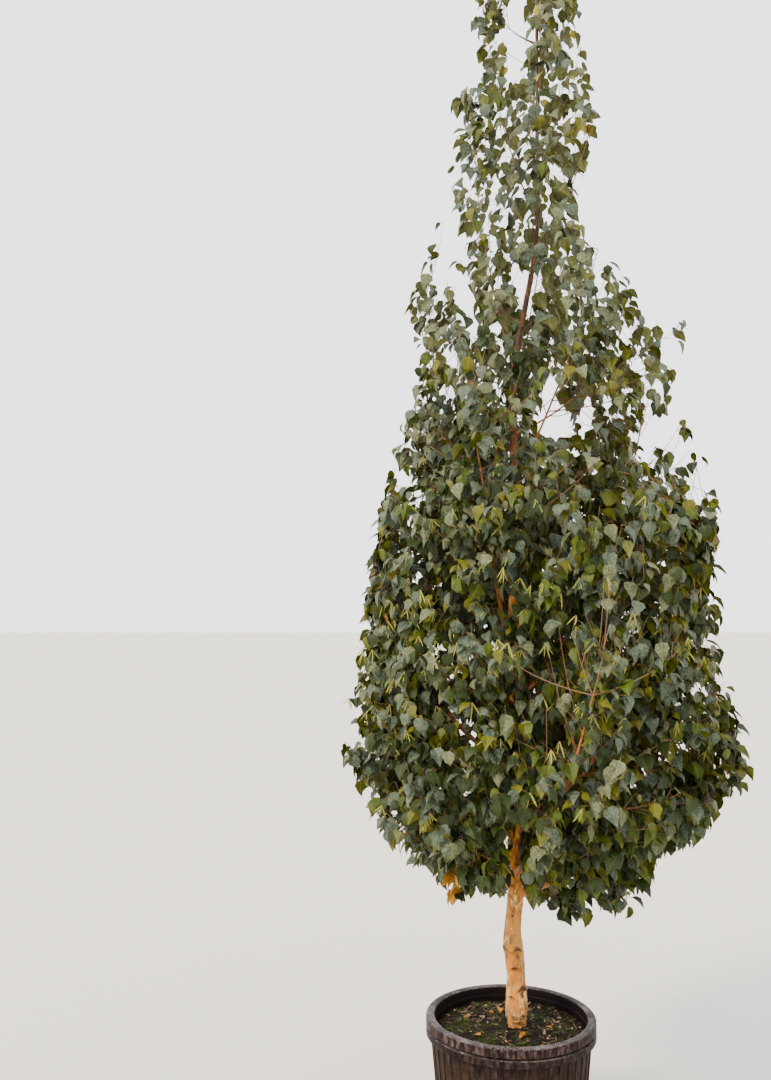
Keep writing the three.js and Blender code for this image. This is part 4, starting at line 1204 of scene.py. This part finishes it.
def leaves_on(order, parent, line, run):
    """The leaves of one twig that have room and light, each as its form, place, face slots and cell."""
    slot = spray_colour(parent * 3 + order % 3, line[-1])
    count = max(round(run / LEAF_STEP), 1)
    for leaf in range(count + (chance(order, 9, 0.1) < ONE_MORE_LEAF)):
        luck = draws(order + 400, leaf)
        root, _ = along_line(line, 1 - leaf / (count + 0.6))
        outward = root - Vector((*axis_at(root.z), root.z))
        inner = outward.length / crown_reach(root.z, math.atan2(outward.y, outward.x))
        light = eased(inner + eased(root.z, 2.2, 3.0), INNER["from"], INNER["to"])
        if luck(0.71) > lerp(INNER["share"], 1.0, light):
            continue
        if inner > POCKETS["outside"] and root.z < POCKETS["up_to"]:
            if noise.noise(root * POCKETS["scale"]) < POCKETS["below"]:
                continue
        outward.normalize()
        if leaf:
            outward.rotate(Matrix.Rotation(PAIRED_TURN if leaf % 2 else -PAIRED_TURN, 3, "Z"))
        grown = lerp(LARGER_LEAF["top"], 1.0, size_at(root.z))
        grown *= lerp(LARGER_LEAF["inside"], 1.0, eased(inner, 0.3, 0.7))
        placed = leaf_place(root, outward, luck, grown)
        tip = placed @ LEAF_TIP
        spot = as_array([tip])
        kept_in = within_reach(spot, LEAF_PAST["reach"])[0] and in_outline(spot, LEAF_PAST["outline"])[0]
        if not kept_in or left_open(tip):
            continue
        (across,), (up,) = as_seen(spot)
        cell = (round(across / CROWDED["cell"]), round(up / CROWDED["cell"]))
        if in_sight.get(cell, 0) > np.interp(up, CROWDED["heights"], CROWDED["most"]) - luck(0.05):
            continue
        over = slot if luck(0.43) < SPRAY_KEEPS else spray_colour(order + leaf, root)
        # Pale undersides go with grey and blue uppersides, and above 2.3 m they also stand for painted
        # sunlight on the top of the crown.
        pale = 0.5 * (over in (BLUE, GREY)) + 0.5 * eased(root.z, 2.3, 2.9)
        under = UNDER_PALE if luck(0.61) < pale else UNDER_OLIVE
        if math.hypot((across - DRIED[0]) / DRIED[2], (up - DRIED[1]) / DRIED[3]) < 1:
            over = AMBER
        if over in (YELLOW, AMBER):
            under = over
        yield int(luck(0.97) * len(leaf_forms)), np.array(placed), (over, under, STALK), cell


by_shoot = {}
for order, (parent, line, run, share) in enumerate(twigs):
    by_shoot.setdefault(parent, []).append((order, line, run, share))
for parent, carried in by_shoot.items():
    fresh = [
        (order, share, *leaf)
        for order, line, run, share in carried
        for leaf in leaves_on(order, parent, line, run)
    ]
    if parent < len(side_shoots) and len(fresh) < side_shoots[parent][1] / LEAF_NEEDED:
        continue
    for order, share, form, placed, slots, cell in fresh:
        in_sight[cell] = in_sight.get(cell, 0) + 1
        places[form].append(placed)
        slots_of[form].append(slots)
        bearing.add(order)
        borne[parent] = max(borne.get(parent, 0), share)
fallen = scattered(*FALLEN_LEAVES)
fallen = stamped(leaf_forms[FALLEN_FORM], fallen, [(AMBER, AMBER, STALK)] * len(fallen))
joined_piece("fallen_leaves", fallen, leaf_materials, [])
mass_nodes = [mass["node"] for mass in masses]
for form, (shape, where, slots) in enumerate(zip(leaf_forms, places, slots_of)):
    leaves = stamped(shape, where, slots)
    joined_piece(f"leaves_{form + 1}", leaves, leaf_materials, mass_nodes, 32)

# The wood of the shoots and twigs. Only what bears leaves stands: a shoot ends at its last leaf, and
# is thinner in the open top than low in the crown.
SHOOT_SIDES = 4
SHOOT_GIRTH = {"low": 1.0, "high": 0.6, "from": 2.3, "to": 3.1}
SHOOT_TAPER = np.linspace(1, 0.35, SHOOT_ROWS)
TWIG_SIDES = 3
TWIG_TAPER = np.linspace(1, 0.6, TWIG_ROWS)
twig_bark = shoot_bark(
    "twig_bark", (0.060, 0.022, 0.006), (0.200, 0.080, 0.018), (0.110, 0.065, 0.030), (0.050, 0.028, 0.016),
)
lines, tapers = [], []
for order, (line, reach) in enumerate(side_shoots):
    if order not in borne:
        continue
    lines.append([along_line(line, borne[order] * k / (SHOOT_ROWS - 1))[0][:] for k in range(SHOOT_ROWS)])
    girth = math.sqrt(reach / SHOOT["length"]) * by_height(line[-1][2], SHOOT_GIRTH)
    tapers.append(SHOOT["radius"] * girth * SHOOT_TAPER)
stems = [twigs[order][1] for order in sorted(bearing)]
stem_tapers = np.tile(TWIG["radius"] * TWIG_TAPER, (len(stems), 1))
wood = together(tubes(lines, tapers, SHOOT_SIDES), tubes(stems, stem_tapers, TWIG_SIDES))
joined_piece("twigs", wood, [twig_bark], mass_nodes, 70)

# The catkins. Next spring's, already set in small bunches at the ends of twigs: slim, firm, scaly
# and yellow green, most of them in the middle of the crown.
CATKIN = {"length": 0.044, "varies": (0.75, 1.2), "lean": (0.1, 0.9), "wide": 0.085, "curve": 0.20}
CATKIN_BUNCH = {"least": 2, "more": 3}
CATKIN_BAND = {"most": 0.22, "height": 1.80, "spread": 0.40, "outside": 0.72}

catkin = bmesh.new()
bmesh.ops.create_uvsphere(catkin, u_segments=4, v_segments=6, radius=0.5)
for vertex in catkin.verts:
    along = vertex.co.z + 0.5
    wide = CATKIN["wide"]
    vertex.co = (vertex.co.x * wide + CATKIN["curve"] * along**2, vertex.co.y * wide, -along)
catkins = []
for order, (_, points, _, _) in enumerate(twigs):
    tip = points[-1]
    off = tip[:2] - axis_at(tip[2])
    outermost = np.hypot(*off) > CATKIN_BAND["outside"] * crown_reach(tip[2], math.atan2(off[1], off[0]))
    liking = CATKIN_BAND["most"] * bell(tip[2], CATKIN_BAND["height"], CATKIN_BAND["spread"])
    liking *= (1.8 if tip[0] < 0.1 else 0.6) * (1.5 if outermost else 0.1)
    if chance(order, 5, 0.77) > liking or order not in bearing:
        continue
    for k in range(CATKIN_BUNCH["least"] + int(CATKIN_BUNCH["more"] * chance(order, 6, 0.2))):
        luck = draws(order, k)
        spin = Matrix.Rotation(math.tau * luck(0.3), 4, "Z")
        lean = Matrix.Rotation(lerp(*CATKIN["lean"], luck(0.5)), 4, "X")
        size = Matrix.Scale(CATKIN["length"] * lerp(*CATKIN["varies"], luck(0.7)), 4)
        catkins.append(np.array(Matrix.Translation(tip) @ spin @ lean @ size))
paint = Paint("catkin", 0.6, 0.3)
scales = paint.grain(paint.place(), 420, 3, 0.6)
scaly = paint.ramped(scales, (0.3, (0.110, 0.120, 0.010)), (0.7, (0.360, 0.350, 0.060)))
scaly = paint.finished(scaly, scales, 0.7, 0.0008)
joined_piece("catkins", stamped(taken_from(catkin), catkins), [scaly], mass_nodes, 60)

# The studio. A plain pale floor and a soft even sky, with one broad lamp high on the left that is as
# warm as hazy sun.
FLOOR = {"half": 60, "colour": (0.60, 0.56, 0.51, 1)}
SKY = {"colour": (0.90, 0.90, 0.91, 1), "strength": 3.2}
LAMP = {"energy": 5.0, "spread": 14, "colour": (1.0, 0.88, 0.72), "tilt": 50, "turn": -52}

floor_shape = bmesh.new()
bmesh.ops.create_grid(floor_shape, x_segments=1, y_segments=1, size=FLOOR["half"])
floor_paint = Paint("floor_paint", 0.9, 0.1)
floor_paint.shader.inputs["Base Color"].default_value = FLOOR["colour"]
floor_mesh = new_mesh("floor", [floor_paint.material])
floor_shape.to_mesh(floor_mesh)
floor_shape.free()
floor = bpy.data.objects.new("floor", floor_mesh)
bpy.context.scene.collection.objects.link(floor)

sky = bpy.data.worlds.new("studio_sky")
sky.use_nodes = True
sky.node_tree.nodes["Background"].inputs["Color"].default_value = SKY["colour"]
sky.node_tree.nodes["Background"].inputs["Strength"].default_value = SKY["strength"]
bpy.context.scene.world = sky

lamp = bpy.data.lights.new("key", "SUN")
lamp.energy = LAMP["energy"]
lamp.angle = math.radians(LAMP["spread"])
lamp.color = LAMP["colour"]
lamp_stand = bpy.data.objects.new("key", lamp)
lamp_stand.rotation_euler = (math.radians(LAMP["tilt"]), 0, math.radians(LAMP["turn"]))
bpy.context.scene.collection.objects.link(lamp_stand)

# The camera. It stands where the photograph was taken, a little left of the tree, and looks slightly
# up, with the lens that the photograph's perspective gives.
CAMERA = {"sensor": 36, "lens": 35.12, "up": 3.342}

camera = bpy.data.cameras.new("camera")
camera.sensor_width = CAMERA["sensor"]
camera.lens = CAMERA["lens"]
camera_stand = bpy.data.objects.new("camera", camera)
camera_stand.location = VIEW_FROM
camera_stand.rotation_euler = (math.radians(90 + CAMERA["up"]), 0, 0)
bpy.context.scene.collection.objects.link(camera_stand)
bpy.context.scene.camera = camera_stand
